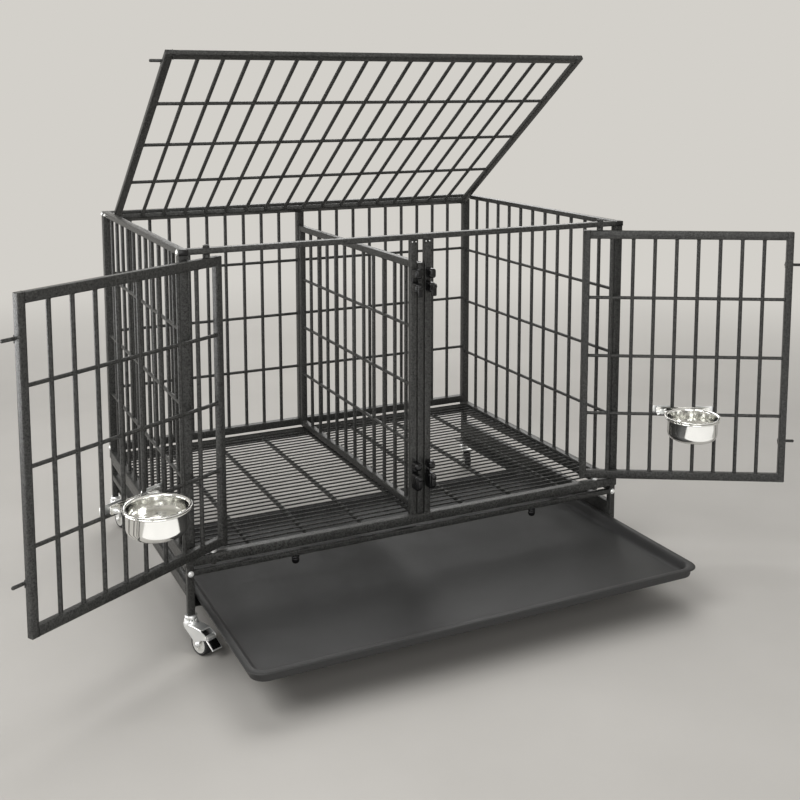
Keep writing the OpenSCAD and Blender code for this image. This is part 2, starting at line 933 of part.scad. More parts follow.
module tyre(i) {
    shoulder = 3;
    bore_r = hub_d / 2 + run_gap;
    color(black)
        under_leg(i)
            translate([0, -trail, wheel_r])
                rotate([0, 90, 0])
                    rotate_extrude()
                        polygon([[bore_r, -wheel_w / 2], [wheel_r - shoulder, -wheel_w / 2],
                            [wheel_r, -wheel_w / 2 + shoulder], [wheel_r, wheel_w / 2 - shoulder],
                            [wheel_r - shoulder, wheel_w / 2], [bore_r, wheel_w / 2]]);
}

// Foot pedal on the pin in front of the wheel
module brake_pedal(i) {
    lug_w = 2 * plate_x - 2 * side_gap;
    lug_r = lug_d / 2 - 0.7;
    color(black)
        under_leg(i)
            translate([0, pedal_pin_y, pedal_pin_z])
                rotate([pedal_tilt, 0, 0])
                    difference() {
                        union() {
                            translate([-lug_w / 2, 0, 0])
                                rotate([0, 90, 0])
                                    cylinder(r = lug_r, h = lug_w);
                            translate([-lug_w / 2, -lug_d, -pedal_t / 2])
                                cube([lug_w, lug_d, pedal_t]);
                            translate([-pedal_w / 2, -lug_d / 2 - seat_gap - pedal_l, -pedal_t / 2])
                                cube([pedal_w, pedal_l, pedal_t]);
                        }
                        translate([-lug_w / 2 - cut, 0, 0])
                            rotate([0, 90, 0])
                                cylinder(d = pedal_pin_d + 2 * run_gap, h = lug_w + 2 * cut);
                    }
}

place() side_frame();  // left_panel_frame
place() side_bars();  // left_panel_bars
place() other_side() side_frame();  // right_panel_frame
place() other_side() side_bars();  // right_panel_bars
place() back_panel_frame();
place() back_panel_bars();
place() front_top_rail();
place() front_bottom_rail();
place() centre_posts();
place() base_side();  // base_left
place() other_side() base_side();  // base_right
place() base_rear_rail();
place() front_tie_bar();
place() tray_runners();
place() tray_clips();
place() floor_frame();
place() floor_wires();
place() divider_frame();
place() divider_bars();
place() latch_housings();
place() rail_end_caps();
place() fasteners();
place() caster_stems();
place() door_frame();  // left_door_frame
place() door_bars();  // left_door_bars
place() door_latch_pins();  // left_door_latch_pins
place() door_pivots();  // left_door_pivots
place() bowl_holder();  // left_bowl_holder
place() holder_clamps();  // left_holder_clamps
place() bowl();  // left_bowl
place() other_side() door_frame();  // right_door_frame
place() other_side() door_bars();  // right_door_bars
place() other_side() door_latch_pins();  // right_door_latch_pins
place() other_side() door_pivots();  // right_door_pivots
place() other_side() bowl_holder();  // right_bowl_holder
place() other_side() holder_clamps();  // right_holder_clamps
place() other_side() bowl();  // right_bowl
place() lid_frame();
place() lid_bars();
place() lid_latch_pin();
place() lid_pivots();
place() tray();
place() latch_lever(upper_latch_z);  // upper_left_latch
place() other_side() latch_lever(upper_latch_z);  // upper_right_latch
place() latch_lever(lower_latch_z);  // lower_left_latch
place() other_side() latch_lever(lower_latch_z);  // lower_right_latch
place() fork(0, true);  // front_left_fork
place() hub(0);  // front_left_hub
place() tyre(0);  // front_left_tyre
place() brake_pedal(0);  // front_left_brake
place() fork(1, true);  // front_right_fork
place() hub(1);  // front_right_hub
place() tyre(1);  // front_right_tyre
place() brake_pedal(1);  // front_right_brake
place() fork(2, false);  // rear_left_fork
place() hub(2);  // rear_left_hub
place() tyre(2);  // rear_left_tyre
place() fork(3, false);  // rear_right_fork
place() hub(3);  // rear_right_hub
place() tyre(3);  // rear_right_tyre
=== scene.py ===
import bpy
import numpy as np
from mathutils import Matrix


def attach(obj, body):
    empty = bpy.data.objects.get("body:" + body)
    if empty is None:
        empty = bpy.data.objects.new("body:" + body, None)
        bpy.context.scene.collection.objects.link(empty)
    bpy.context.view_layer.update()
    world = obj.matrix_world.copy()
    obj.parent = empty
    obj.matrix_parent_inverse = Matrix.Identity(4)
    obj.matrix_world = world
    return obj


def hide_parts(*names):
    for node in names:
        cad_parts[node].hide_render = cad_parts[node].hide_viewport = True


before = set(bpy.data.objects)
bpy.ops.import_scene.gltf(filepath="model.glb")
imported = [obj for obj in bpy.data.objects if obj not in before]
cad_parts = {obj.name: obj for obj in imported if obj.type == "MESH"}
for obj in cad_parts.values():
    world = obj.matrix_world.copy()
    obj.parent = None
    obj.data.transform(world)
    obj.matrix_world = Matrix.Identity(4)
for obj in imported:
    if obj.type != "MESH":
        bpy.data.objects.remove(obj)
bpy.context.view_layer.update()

print("frame loaded with", len(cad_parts), "nodes")

# all lengths are millimetres: x from the middle, y back from the front face, z up from the ground
crate = {"halfWidth": 545, "depth": 770, "top": 845, "underside": 182, "post": 20, "topRail": 12,
         "middleY": 215}
# tubes: edge radii of posts, flat rails and thin tubes, the bevels of free and welded ends, and seams
tubing = {"edge": 2.2, "flatEdge": 2.6, "thinEdge": 2, "free": 0.8, "welded": 0.1, "seam": 0.7,
          "topSeam": 0.6, "thinSeam": 0.8}


# shapes: every shell is a grid of points, closed by repeated points at its seams and poles

def axesFor(direction):
    # a unit direction with two vectors square to it: level and upright where it can be
    along = np.array(direction, float) / np.linalg.norm(direction)
    side = np.cross(along, [0, 0, 1.0]) if abs(along[2]) < 0.9 else np.array([1.0, 0, 0])
    side /= np.linalg.norm(side)
    return along, side, np.cross(side, along)


def circle(diameter, count=20):
    # points round a circle
    angle = np.linspace(0, 2 * np.pi, count, endpoint=False)
    return diameter / 2 * np.stack([np.cos(angle), np.sin(angle)], -1)


def roundOutline(halfX, halfY, radius, steps):
    # x and y round a rectangle with quarter circles as corners; columns of sizes give rows of points
    quarter = np.linspace(0, np.pi / 2, steps)
    angle = (quarter[None] + np.arange(4)[:, None] * np.pi / 2).reshape(-1)
    x = np.repeat([1, -1, -1, 1], steps) * (halfX - radius) + radius * np.cos(angle)
    y = np.repeat([1, 1, -1, -1], steps) * (halfY - radius) + radius * np.sin(angle)
    return x, y


def boxSection(width, height, radius, steps=4):
    # points round a rectangle with round corners, whose radius stays under half of each side
    radius = min(radius, 0.49 * width, 0.49 * height)
    return np.stack(roundOutline(width / 2, height / 2, radius, steps), -1)


def closed(grid):
    # repeats the first column, so that the shell closes round its section
    return np.concatenate([grid, grid[:, :1]], 1)


def strut(start, end, section, bevel=tubing["free"]):
    # a section carried from start to end, drawn in over the bevel and closed with a point at both ends
    start, end = np.array([start, end], float)
    length = np.linalg.norm(end - start)
    along, side, up = axesFor(end - start)
    small = 1 - 2 * bevel / np.ptp(section, axis=0)
    scale = np.array([[0, 0], small, [1, 1], [1, 1], small, [0, 0]])
    place = np.array([0, 0, bevel, length - bevel, length, length])
    flat = section[None] * scale[:, None]
    return closed(start + place[:, None, None] * along + flat[..., :1] * side + flat[..., 1:] * up)


def boxLine(low, high, radius):
    # the middle line of a box along its longest side, and the section round that line
    low, high = np.sort([low, high], axis=0).astype(float)
    size, middle = high - low, (low + high) / 2
    axis = int(size.argmax())
    start, end = middle.copy(), middle.copy()
    start[axis], end[axis] = low[axis], high[axis]
    return start, end, boxSection(*np.delete(size, axis), radius)


def beam(low, high, radius=tubing["edge"], bevel=tubing["free"]):
    # a tube that fills a box, carried along the longest side of the box
    start, end, section = boxLine(low, high, radius)
    return strut(start, end, section, bevel)


def lathe(profile, centre, axis, count=40):
    # radius and height along an axis, turned once round it
    profile = np.array(profile, float)
    along, side, up = axesFor(axis)
    angle = np.linspace(0, 2 * np.pi, count, endpoint=False)[:, None]
    radial = np.cos(angle) * side + np.sin(angle) * up
    rise, reach = profile[:, None, 1:], profile[:, None, :1]
    return closed(centre + rise * along + reach * radial)


def ringBead(centre, axis, radius, wire, ripple=0.0, count=20, around=6):
    # a small circle carried round a large one, swelling a little along the way where it is a weld
    along, side, up = axesFor(axis)
    turn = np.linspace(0, 2 * np.pi, count + 1)[:, None]
    roll = np.linspace(0, 2 * np.pi, around + 1)[None]
    thick = wire * (1 + ripple * np.sin(7 * turn)) + 0 * roll
    out = (radius + thick * np.cos(roll))[..., None]
    grid = (centre + out * (np.cos(turn) * side + np.sin(turn) * up)[:, None]
            + (thick * np.sin(roll))[..., None] * along)
    grid[-1], grid[:, -1] = grid[0], grid[:, 0]
    return grid


def seamBead(centre, axis, section, wire):
    # a thin weld carried round the outline of a tube
    along, side, up = axesFor(axis)
    roll = np.linspace(0, 2 * np.pi, 6)
    outward = section / np.linalg.norm(section, axis=1, keepdims=True)
    flat = section[:, None] + wire * np.cos(roll)[None, :, None] * outward[:, None]
    grid = (centre + flat[..., :1] * side + flat[..., 1:] * up
            + wire * np.sin(roll)[None, :, None] * along)
    grid[:, -1] = grid[:, 0]
    return np.concatenate([grid, grid[:1]], 0)


def weldedTube(low, high, radius=tubing["edge"], wire=tubing["seam"]):
    # a tube that fills a box between two others, with a thin weld round each of its ends
    start, end, section = boxLine(low, high, radius)
    seams = [seamBead(place, end - start, section, wire) for place in (start, end)]
    return [strut(start, end, section, tubing["welded"])] + seams


def pillow(low, high, radius, steps=4):
    # a box with round edges: rounded outlines that draw in by a quarter circle to its top and foot
    low, high = np.array([low, high], float)
    middle, core = (low + high) / 2, (high - low) / 2 - radius
    quarter = np.linspace(0, np.pi / 2, steps)
    tilt = np.concatenate([quarter[::-1], -quarter])[:, None]
    arc = radius * np.cos(tilt)
    x, y = roundOutline(core[0] + arc, core[1] + arc, arc, steps)
    z = np.repeat([1, -1], steps)[:, None] * core[2] + radius * np.sin(tilt)
    grid = middle + np.stack([x, y, z + 0 * x], -1)
    pole = np.tile([0, 0, core[2] + radius], (1, x.shape[1], 1))
    return closed(np.concatenate([middle + pole, grid, middle - pole], 0))


def ellipsoid(centre, radii, count=16):
    # a sphere of two angles, stretched to three radii
    turn = np.linspace(0, 2 * np.pi, count, endpoint=False)
    tilt = np.linspace(-np.pi / 2, np.pi / 2, count // 2 + 1)[:, None]
    wide = np.cos(tilt)
    wide[[0, -1]] = 0
    grid = np.stack([wide * np.cos(turn), wide * np.sin(turn), np.sin(tilt) + 0 * turn], -1)
    return closed(centre + grid * radii)


def plate(outline, middle, origin, across, up, thickness, bevel=0.5):
    # a flat outline cut from sheet, with broken edges; middle is a point that sees the whole outline
    outline, middle = np.array(outline, float), np.array(middle, float)
    across, up = np.array([across, up], float)
    normal = np.cross(across, up)
    reach = np.linalg.norm(outline - middle, axis=1, keepdims=True)
    inside = middle + (outline - middle) * (1 - bevel / reach)
    point = np.tile(middle, (len(outline), 1))
    flat = np.stack([point, inside, outline, outline, inside, point])
    place = np.array([0, 0, bevel, thickness - bevel, thickness, thickness])[:, None, None]
    flat = flat[..., :1] * across + flat[..., 1:] * up
    return closed(origin + flat + place * normal)


def softLine(points, rounds=2, loop=False):
    # cuts the corners of a line at a quarter and three quarters, again and again, until they are round
    points = np.array(points, float)
    for _ in range(rounds):
        after = np.roll(points, -1, 0) if loop else points[1:]
        before = points if loop else points[:-1]
        pairs = np.stack([0.75 * before + 0.25 * after, 0.25 * before + 0.75 * after], 1)
        pairs = pairs.reshape(-1, points.shape[1])
        points = pairs if loop else np.concatenate([points[:1], pairs, points[-1:]])
    return points


def turned(grids, pivot, axis, degrees):
    # turns shells about a line through pivot along x, y or z
    i, j = [(1, 2), (2, 0), (0, 1)][axis]
    sine, cosine = np.sin(np.radians(degrees)), np.cos(np.radians(degrees))
    turn = np.eye(3)
    turn[i, i], turn[j, j], turn[i, j], turn[j, i] = cosine, cosine, sine, -sine
    return [(grid - pivot) @ turn + pivot for grid in grids]


def mirrored(grids):
    # the same shells with x reversed
    return [grid * [-1, 1, 1] for grid in grids]


def weldedMesh(grids):
    # merges each shell's seams and poles, turns its faces outwards by its volume's sign, joins all
    points, corners, base = [], [], 0
    for grid in grids:
        rows, columns = grid.shape[:2]
        index = np.arange(rows * columns).reshape(rows, columns)
        quads = [index[:-1, :-1], index[:-1, 1:], index[1:, 1:], index[1:, :-1]]
        quads = np.stack(quads, -1).reshape(-1, 4)
        spots, back = np.unique(grid.reshape(-1, 3).round(5), axis=0, return_inverse=True)
        quads = back.reshape(-1)[quads]
        same = quads == np.roll(quads, -1, axis=1)
        poles = same.sum(1) == 1
        keep = (same[poles].argmax(1)[:, None] + np.array([1, 2, 3])) % 4
        triangles = np.take_along_axis(quads[poles], keep, 1)
        quads = quads[~same.any(1)]
        fans = np.concatenate([quads[:, :3], quads[:, [0, 2, 3]], triangles])
        a, b, c = (spots[fans[:, k]] - spots.mean(0) for k in range(3))
        if (a * np.cross(b, c)).sum() < 0:
            quads, triangles = quads[:, ::-1], triangles[:, ::-1]
        points.append(spots)
        corners += (quads + base).tolist() + (triangles + base).tolist()
        base += len(spots)
    return np.concatenate(points), corners


# materials

def linearColour(code):
    # sRGB hex to linear red, green, blue and alpha
    value = np.array([int(code[k:k + 2], 16) for k in (1, 3, 5)]) / 255
    linear = np.where(value <= 0.04045, value / 12.92, ((value + 0.055) / 1.055) ** 2.4)
    return (*linear.tolist(), 1.0)


def add(tree, kind, inputs=None, **settings):
    # a node with its settings and its inputs, each a plain value or another node's output
    node = tree.nodes.new("ShaderNode" + kind)
    for key, value in settings.items():
        setattr(node, key, value)
    for key, value in (inputs or {}).items():
        if isinstance(value, bpy.types.NodeSocket):
            tree.links.new(value, node.inputs[key])
        else:
            node.inputs[key].default_value = value
    return node


def cloudy(tree, place, size, detail=2.0, distortion=0.0):
    # noise between 0 and 1 whose cells have this size; its scale is the count of cells in a metre
    inputs = {"Vector": place, "Scale": 1000 / size, "Detail": detail, "Distortion": distortion}
    return add(tree, "TexNoise", inputs).outputs["Fac"]


def cells(tree, place, size, feature="F1"):
    # distance from the nearest of scattered points that lie about this far apart
    inputs = {"Vector": place, "Scale": 1000 / size}
    return add(tree, "TexVoronoi", inputs, feature=feature).outputs["Distance"]


def ranged(tree, value, low, high, start=0.0, end=1.0, **settings):
    # low where the value is at start, high where it is at end, in proportion between them
    inputs = {"Value": value, "From Min": start, "From Max": end, "To Min": low, "To Max": high}
    return add(tree, "MapRange", inputs, **settings).outputs[0]


def mixColours(tree, factor, first, second):
    # the first colour at 0 and the second at 1; each is a hex code or another node's output
    first, second = (linearColour(c) if isinstance(c, str) else c for c in (first, second))
    return add(tree, "Mix", {0: factor, 6: first, 7: second}, data_type="RGBA").outputs[2]


def newMaterial(name, **sockets):
    # a plain surface: returns it with its tree, its shader and the object's own coordinates
    material = bpy.data.materials.new(name)
    material.use_nodes = True
    tree = material.node_tree
    shader = tree.nodes["Principled BSDF"]
    for key, value in sockets.items():
        shader.inputs[key.replace("_", " ")].default_value = value
    place = add(tree, "TexCoord").outputs["Object"]
    return material, tree, shader, place


def linkSurface(tree, shader, colour, gloss, relief=None, strength=0.0, distance=0.0):
    # colour, roughness and a fine relief, whose height is distance times strength
    tree.links.new(colour, shader.inputs["Base Color"])
    tree.links.new(gloss, shader.inputs["Roughness"])
    if relief:
        inputs = {"Height": relief, "Strength": strength, "Distance": distance}
        tree.links.new(add(tree, "Bump", inputs).outputs[0], shader.inputs["Normal"])


def mixedSurface(name, look, **sockets):
    # a cloudy noise mixes two colours and sets the roughness; finer noise or cells give the relief
    material, tree, shader, place = newMaterial(name, **sockets)
    cloud = cloudy(tree, place, *look["cloud"])
    share = ranged(tree, cloud, 0.0, 1.0, *look["spread"]) if "spread" in look else cloud
    if "stretch" in look:
        inputs = {"Vector": place, "Scale": look["stretch"]}
        place = add(tree, "Mapping", inputs).outputs[0]
    relief = cells(tree, place, look["cells"]) if "cells" in look else None
    if "grain" in look:
        relief = cloudy(tree, place, look["grain"])
    linkSurface(tree, shader, mixColours(tree, share, *look["colours"]),
                ranged(tree, cloud, *look["gloss"]), relief, *look.get("bump", ()))
    return material


# charcoal hammertone powder coat, baked on welded steel: a dark grey film that has drawn into small
# dimples about 4 mm wide, with a paler bloom where the film is thin; it gives soft, broken highlights
coatLook = {"dark": "#050505", "pale": "#474745", "dust": "#20201f", "dimple": 4.2, "speckle": 2.2,
            "cloud": 140, "dimpleShare": 0.55, "bloom": (0.42, 0.98), "dusty": (0.45, 0.75),
            "mostDust": 0.35, "gloss": (0.24, 0.44), "bump": (0.6, 0.0007)}
powderCoat, tree, shader, place = newMaterial(
    "hammertonePowderCoat", Specular_IOR_Level=0.2, Coat_Weight=0.14, Coat_Roughness=0.2)
dimples = cells(tree, place, coatLook["dimple"], "SMOOTH_F1")
speckle = cloudy(tree, place, coatLook["speckle"], 3.0)
grain = add(tree, "Math", {0: dimples, 1: coatLook["dimpleShare"], 2: speckle},
            operation="MULTIPLY_ADD").outputs[0]
grain = ranged(tree, grain, 0.0, 1.0, *coatLook["bloom"])
film = mixColours(tree, grain, coatLook["dark"], coatLook["pale"])
dust = cloudy(tree, place, coatLook["cloud"], 4.0)
dust = ranged(tree, dust, 0.0, coatLook["mostDust"], *coatLook["dusty"])
linkSurface(tree, shader, mixColours(tree, dust, film, coatLook["dust"]),
            ranged(tree, speckle, *coatLook["gloss"]), grain, *coatLook["bump"])
finishOf = {"powder_coat": powderCoat}

# glass-filled nylon, moulded and polished in the tool: near black, glossy, with a faint flow pattern
nylonLook = {"colours": ("#050506", "#111112"), "cloud": (9, 5.0, 1.2), "gloss": (0.12, 0.3),
             "grain": 0.9, "bump": (0.08, 0.0002)}
finishOf["black_plastic"] = mixedSurface("mouldedBlackNylon", nylonLook, Specular_IOR_Level=0.35)

# polypropylene sheet, vacuum formed over a stippled mould: dark grey, satin, with a fine leathery
# stipple drawn coarser than the real 0.6 mm so that it shows
trayLook = {"colours": ("#222222", "#2a2a2a"), "cloud": (170, 5.0, 0.6), "gloss": (0.4, 0.6),
            "cells": 1.8, "bump": (0.22, 0.0004)}
finishOf["tray_plastic"] = mixedSurface("vacuumFormedPolypropylene", trayLook, Specular_IOR_Level=0.38)

# bright zinc plate on pressed steel: pale, slightly blue metal with cloudy passivation
zincLook = {"colours": ("#e9ecee", "#f3f2ee"), "cloud": (14, 4.0), "gloss": (0.28, 0.48),
            "grain": 0.8, "bump": (0.06, 0.0002)}
finishOf["zinc_plate"] = mixedSurface("brightZincPlate", zincLook, Metallic=0.8)

# stainless steel sheet, spun and polished: mirror bright, with faint level turning lines 2 mm apart
steelLook = {"colours": ("#f3f3f0", "#e4e4e1"), "cloud": (45, 3.0), "gloss": (0.08, 0.13),
             "stretch": (0.02, 0.02, 1.0), "grain": 2.2, "bump": (0.02, 0.0003)}
finishOf["stainless_steel"] = mixedSurface("polishedStainlessSteel", steelLook, Metallic=1.0)

# polypropylene hub, injection moulded: off-white, satin, a little grey where dirt gathers
hubLook = {"colours": ("#e3e2dd", "#c9c8c3"), "cloud": (12, 4.0), "gloss": (0.35, 0.5)}
finishOf["hub_plastic"] = mixedSurface("mouldedWhitePolypropylene", hubLook, IOR=1.49)

# thermoplastic rubber tyre: black, dull, with scuffs
tyreLook = {"colours": ("#121213", "#2c2b2a"), "cloud": (6, 6.0), "spread": (0.45, 0.75),
            "gloss": (0.5, 0.8), "grain": 0.7, "bump": (0.15, 0.0003)}
finishOf["tyre_rubber"] = mixedSurface("mouldedTyreRubber", tyreLook, IOR=1.5)

coat, nylon, zinc, steel = "powder_coat", "black_plastic", "zinc_plate", "stainless_steel"
print("materials made:", len(finishOf))


def newObject(name, data):
    # an object in the scene that shows this data
    thing = bpy.data.objects.new(name, data)
    bpy.context.scene.collection.objects.link(thing)
    return thing


def build(name, grids, slotName, body, *nodes, sharp=38):
    # a piece in the finish of its slot, moved from crate lengths to the frame's metres; edges that
    # bend by more than sharp degrees stay crisp
    points, corners = weldedMesh(grids)
    mesh = bpy.data.meshes.new(name)
    mesh.from_pydata(((points - [0, crate["middleY"], 0]) / 1000).tolist(), [], corners)
    mesh.polygons.foreach_set("use_smooth", np.ones(len(mesh.polygons), bool))
    mesh.set_sharp_from_angle(angle=np.radians(sharp))
    mesh.materials.append(finishOf[slotName])
    piece = newObject(name, mesh)
    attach(piece, body)
    if nodes:
        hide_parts(*nodes)


def buildCage(name, grids, node):
    # a coated piece that is fixed to the crate
    build(name, grids, coat, "crate", node)


# cage panels: left pieces are made first, and right ones are their mirror images

sides = (("left", list), ("right", mirrored))
bars = {"upright": 9, "rod": 8, "rods": 3, "weld": 1.1, "weldIn": 0.3, "ripple": 0.14, "round": 18,
        "sideCount": 11, "backCount": 9}


def grille(origin, across, up, width, height, count):
    # bars along axis up and rods along axis across, evenly spaced, with ripple welds at their ends
    across, up = np.eye(3)[[across, up]]
    lines = [(origin + across * width * k / (count + 1), up, height, bars["upright"])
             for k in range(1, count + 1)]
    lines += [(origin + up * height * k / (bars["rods"] + 1), across, width, bars["rod"])
              for k in range(1, bars["rods"] + 1)]
    shells = []
    for start, along, length, diameter in lines:
        section = circle(diameter, bars["round"])
        shells.append(strut(start, start + along * length, section, tubing["welded"]))
        shells += [ringBead(start + along * place, along, diameter / 2, bars["weld"], bars["ripple"])
                   for place in (bars["weldIn"], length - bars["weldIn"])]
    return shells


def tubeFrame(low, high, stile, rail, upAxis=2):
    # two stiles and the two rails between them, welded into a rectangle whose width lies along x
    low, high = np.array([low, high], float)
    section = boxSection((high - low)[3 - upAxis], rail, tubing["edge"])
    shells = []
    for near, far in ((low, high), (high, low)):
        way = np.sign(far - near)
        stileEnd, railStart, railEnd = far.copy(), near.copy(), far.copy()
        stileEnd[0] = railStart[0] = near[0] + way[0] * stile
        railEnd[0] = far[0] - way[0] * stile
        railEnd[upAxis] = near[upAxis] + way[upAxis] * rail
        shells += [beam(near, stileEnd), beam(railStart, railEnd, bevel=tubing["welded"])]
        middle = (railStart + railEnd) / 2
        shells += [seamBead([x, *middle[1:]], [1, 0, 0], section, tubing["seam"])
                   for x in (railStart[0], railEnd[0])]
    return shells


def panel(low, high, stile, rail, count, upAxis=2):
    # a welded frame and the grille that fills it
    inset, deep = np.array([stile, rail, rail], float), 3 - upAxis
    start, size = low + inset, np.subtract(high, low) - 2 * inset
    start[deep] = (low[deep] + high[deep]) / 2
    return (tubeFrame(low, high, stile, rail, upAxis),
            grille(start, 0, upAxis, size[0], size[upAxis], count))


halfWidth, depth, top, post = (crate[key] for key in ("halfWidth", "depth", "top", "post"))
welded, flatEdge, thinEdge = tubing["welded"], tubing["flatEdge"], tubing["thinEdge"]
underside, thinSeam = crate["underside"], tubing["thinSeam"]
inner, topRailZ, sill = halfWidth - post, top - crate["topRail"], underside + post
postX, frontY, rearY = halfWidth - post / 2, post / 2, depth - post / 2
postSection = boxSection(post, post, tubing["edge"])

sideFrame = [beam([-halfWidth, y, underside], [-inner, y + post, topRailZ]) for y in (0, depth - post)]
sideFrame += weldedTube([-halfWidth, post, underside], [-inner, depth - post, sill])
sideFrame.append(beam([-halfWidth, 0, topRailZ], [-inner, depth, top], flatEdge))
sideFrame += [seamBead([-postX, y, topRailZ], [0, 0, 1], postSection, tubing["topSeam"])
              for y in (frontY, rearY)]
sideBars = grille([-postX, post, sill], 1, 2, depth - 2 * post, topRailZ - sill, bars["sideCount"])
for side, flip in sides:
    buildCage(side + "SideFrame", flip(sideFrame), side + "_panel_frame")
    buildCage(side + "SideBars", flip(sideBars), side + "_panel_bars")

backLow = sill + post
backFrame = [beam([-inner, depth - post, topRailZ], [inner, depth, top], flatEdge, welded)]
backFrame += weldedTube([-inner, depth - post, sill], [inner, depth, backLow])
backFrame += weldedTube([-post / 2, depth - post, backLow], [post / 2, depth, topRailZ])
buildCage("backFrame", backFrame, "back_panel_frame")
backBars = []
for x in (-inner, post / 2):
    backBars += grille([x, rearY, backLow], 0, 2, inner - post / 2, topRailZ - backLow,
                       bars["backCount"])
buildCage("backBars", backBars, "back_panel_bars")

frontTop = [beam([-inner, 0, topRailZ], [inner, post, top], flatEdge, welded)]
buildCage("frontTopRail", frontTop, "front_top_rail")
frontSill = weldedTube([-inner, 0, underside], [inner, post, sill])
buildCage("frontSill", frontSill, "front_bottom_rail")

middlePost = {"width": 15, "gap": 20, "front": 5}
half = middlePost["width"] / 2
middlePostX = (middlePost["gap"] + middlePost["width"]) / 2
middlePosts = []
for x in (-middlePostX, middlePostX):
    middlePosts += weldedTube([x - half, middlePost["front"], sill], [x + half, post, topRailZ],
                              thinEdge, thinSeam)
buildCage("middlePosts", middlePosts, "centre_posts")
print("cage panels made")

# base, runners and floor grid

base = {"leg": 15, "legLow": 76, "legHigh": 205, "lowRail": 124, "leafLow": 86, "sheet": 2,
        "sheetEdge": 0.8, "sheetEnd": 0.3, "ledge": 27, "tie": 12, "tieLow": 160}
legHalf, tieHalf = base["leg"] / 2, base["tie"] / 2
legOuter, legInner = postX + legHalf, postX - legHalf
railYs = (frontY + legHalf, rearY - legHalf)
highRail, leafTop = underside - base["leg"], base["lowRail"] + base["leg"]
baseSide = [beam([-legOuter, y - legHalf, base["legLow"]], [-legInner, y + legHalf, base["legHigh"]],
                 thinEdge) for y in (frontY, rearY)]
for z in (base["lowRail"], highRail):
    baseSide += weldedTube([-legOuter, railYs[0], z], [-legInner, railYs[1], z + base["leg"]],
                           thinEdge, thinSeam)
leafX = -legInner + base["sheet"]
baseSide.append(beam([-legInner, frontY, base["leafLow"]], [leafX, rearY, leafTop],
                     base["sheetEdge"], base["sheetEnd"]))
for side, flip in sides:
    buildCage(side + "Base", flip(baseSide), "base_" + side)
rearRail = [beam([-legInner, rearY - legHalf, highRail],
                 [legInner, rearY + legHalf, highRail + base["leg"]], thinEdge, welded)]
buildCage("rearBaseRail", rearRail, "base_rear_rail")
tieBar = weldedTube([-legInner, frontY - tieHalf, base["tieLow"]],
                    [legInner, frontY + tieHalf, base["tieLow"] + base["tie"]], thinEdge, thinSeam)
buildCage("tieBar", tieBar, "front_tie_bar")
ledge = [beam([leafX, railYs[0], base["leafLow"]],
              [leafX + base["ledge"], railYs[1], base["leafLow"] + base["sheet"]],
              base["sheetEdge"], base["sheetEnd"])]
buildCage("trayLedges", ledge + mirrored(ledge), "tray_runners")

bumper = {"place": 302, "low": 142}
bumperShape = softLine([[0, 0], [6.1, 0], [8.5, 5.4], [8.5, 11], [7.6, 12], [8.5, 13], [8.5, 18],
                        [0, 18]])
bumpers = [lathe(bumperShape, [x, frontY, bumper["low"]], [0, 0, 1], 28)
           for x in (-bumper["place"], bumper["place"])]
build("trayBumpers", bumpers, nylon, "crate", "tray_clips")

floorGrid = {"low": 184, "bar": 10, "barEdge": 1.5, "cross": 8, "crossEdge": 1.2, "crosses": 7,
             "wire": 4, "wires": 34, "wireZ": 196.3, "wireEnd": 0.3}
low, barSize = floorGrid["low"], floorGrid["bar"]
high, near, far = low + barSize, post, depth - post
floorBars = [beam([-inner, y, low], [inner, y + barSize, high], floorGrid["barEdge"])
             for y in (near, far - barSize)]
floorBars += [beam([x, near + barSize, low], [x + barSize, far - barSize, high], floorGrid["barEdge"])
              for x in (-inner, inner - barSize)]
half = floorGrid["cross"] / 2
for k in range(1, floorGrid["crosses"] + 1):
    x = -inner + 2 * inner * k / (floorGrid["crosses"] + 1)
    floorBars.append(beam([x - half, near, high - 2 * half], [x + half, far, high],
                          floorGrid["crossEdge"]))
buildCage("floorGridFrame", floorBars, "floor_frame")
wires, wireSection = [], circle(floorGrid["wire"], 12)
end, wireZ = inner - floorGrid["wireEnd"], floorGrid["wireZ"]
for k in range(floorGrid["wires"]):
    y = near + barSize / 2 + (far - near - barSize) * k / (floorGrid["wires"] - 1)
    wires.append(strut([-end, y, wireZ], [end, y, wireZ], wireSection))
buildCage("floorGridWires", wires, "floor_wires")
print("base and floor grid made")

# divider, framed along x and then turned to run from front to back

divider = {"tube": 16, "front": 5.3, "back": 749.7, "low": 202.3, "high": 780, "bars": 11}
tube = divider["tube"]
dividerFrame = tubeFrame([divider["front"], -tube / 2, divider["low"]],
                         [divider["back"], tube / 2, divider["high"]], tube, tube)
buildCage("dividerFrame", turned(dividerFrame, [0, 0, 0], 2, 90), "divider_frame")
dividerBars = grille([0, divider["front"] + tube, divider["low"] + tube], 1, 2,
                     divider["back"] - divider["front"] - 2 * tube,
                     divider["high"] - divider["low"] - 2 * tube, divider["bars"])
buildCage("dividerBars", dividerBars, "divider_bars")

# doors, made closed on the left and then swung open

door = {"left": -523, "right": -27, "front": 2.5, "back": 17.5, "low": 208, "high": 824, "stile": 16,
        "rail": 20, "bars": 8, "pivotX": -485, "pivotY": 10, "open": -150}
doorFrame, doorBars = panel(
    [door["left"], door["front"], door["low"]], [door["right"], door["back"], door["high"]],
    door["stile"], door["rail"], door["bars"])

latchPin = {"rod": 7, "reach": 24, "plate": 2, "plateHigh": 15, "plateEdge": 0.8, "weld": 2.4,
            "weldZ": 3.2, "weldOut": 1.8, "weldEnd": 1.5, "heights": (743, 307)}


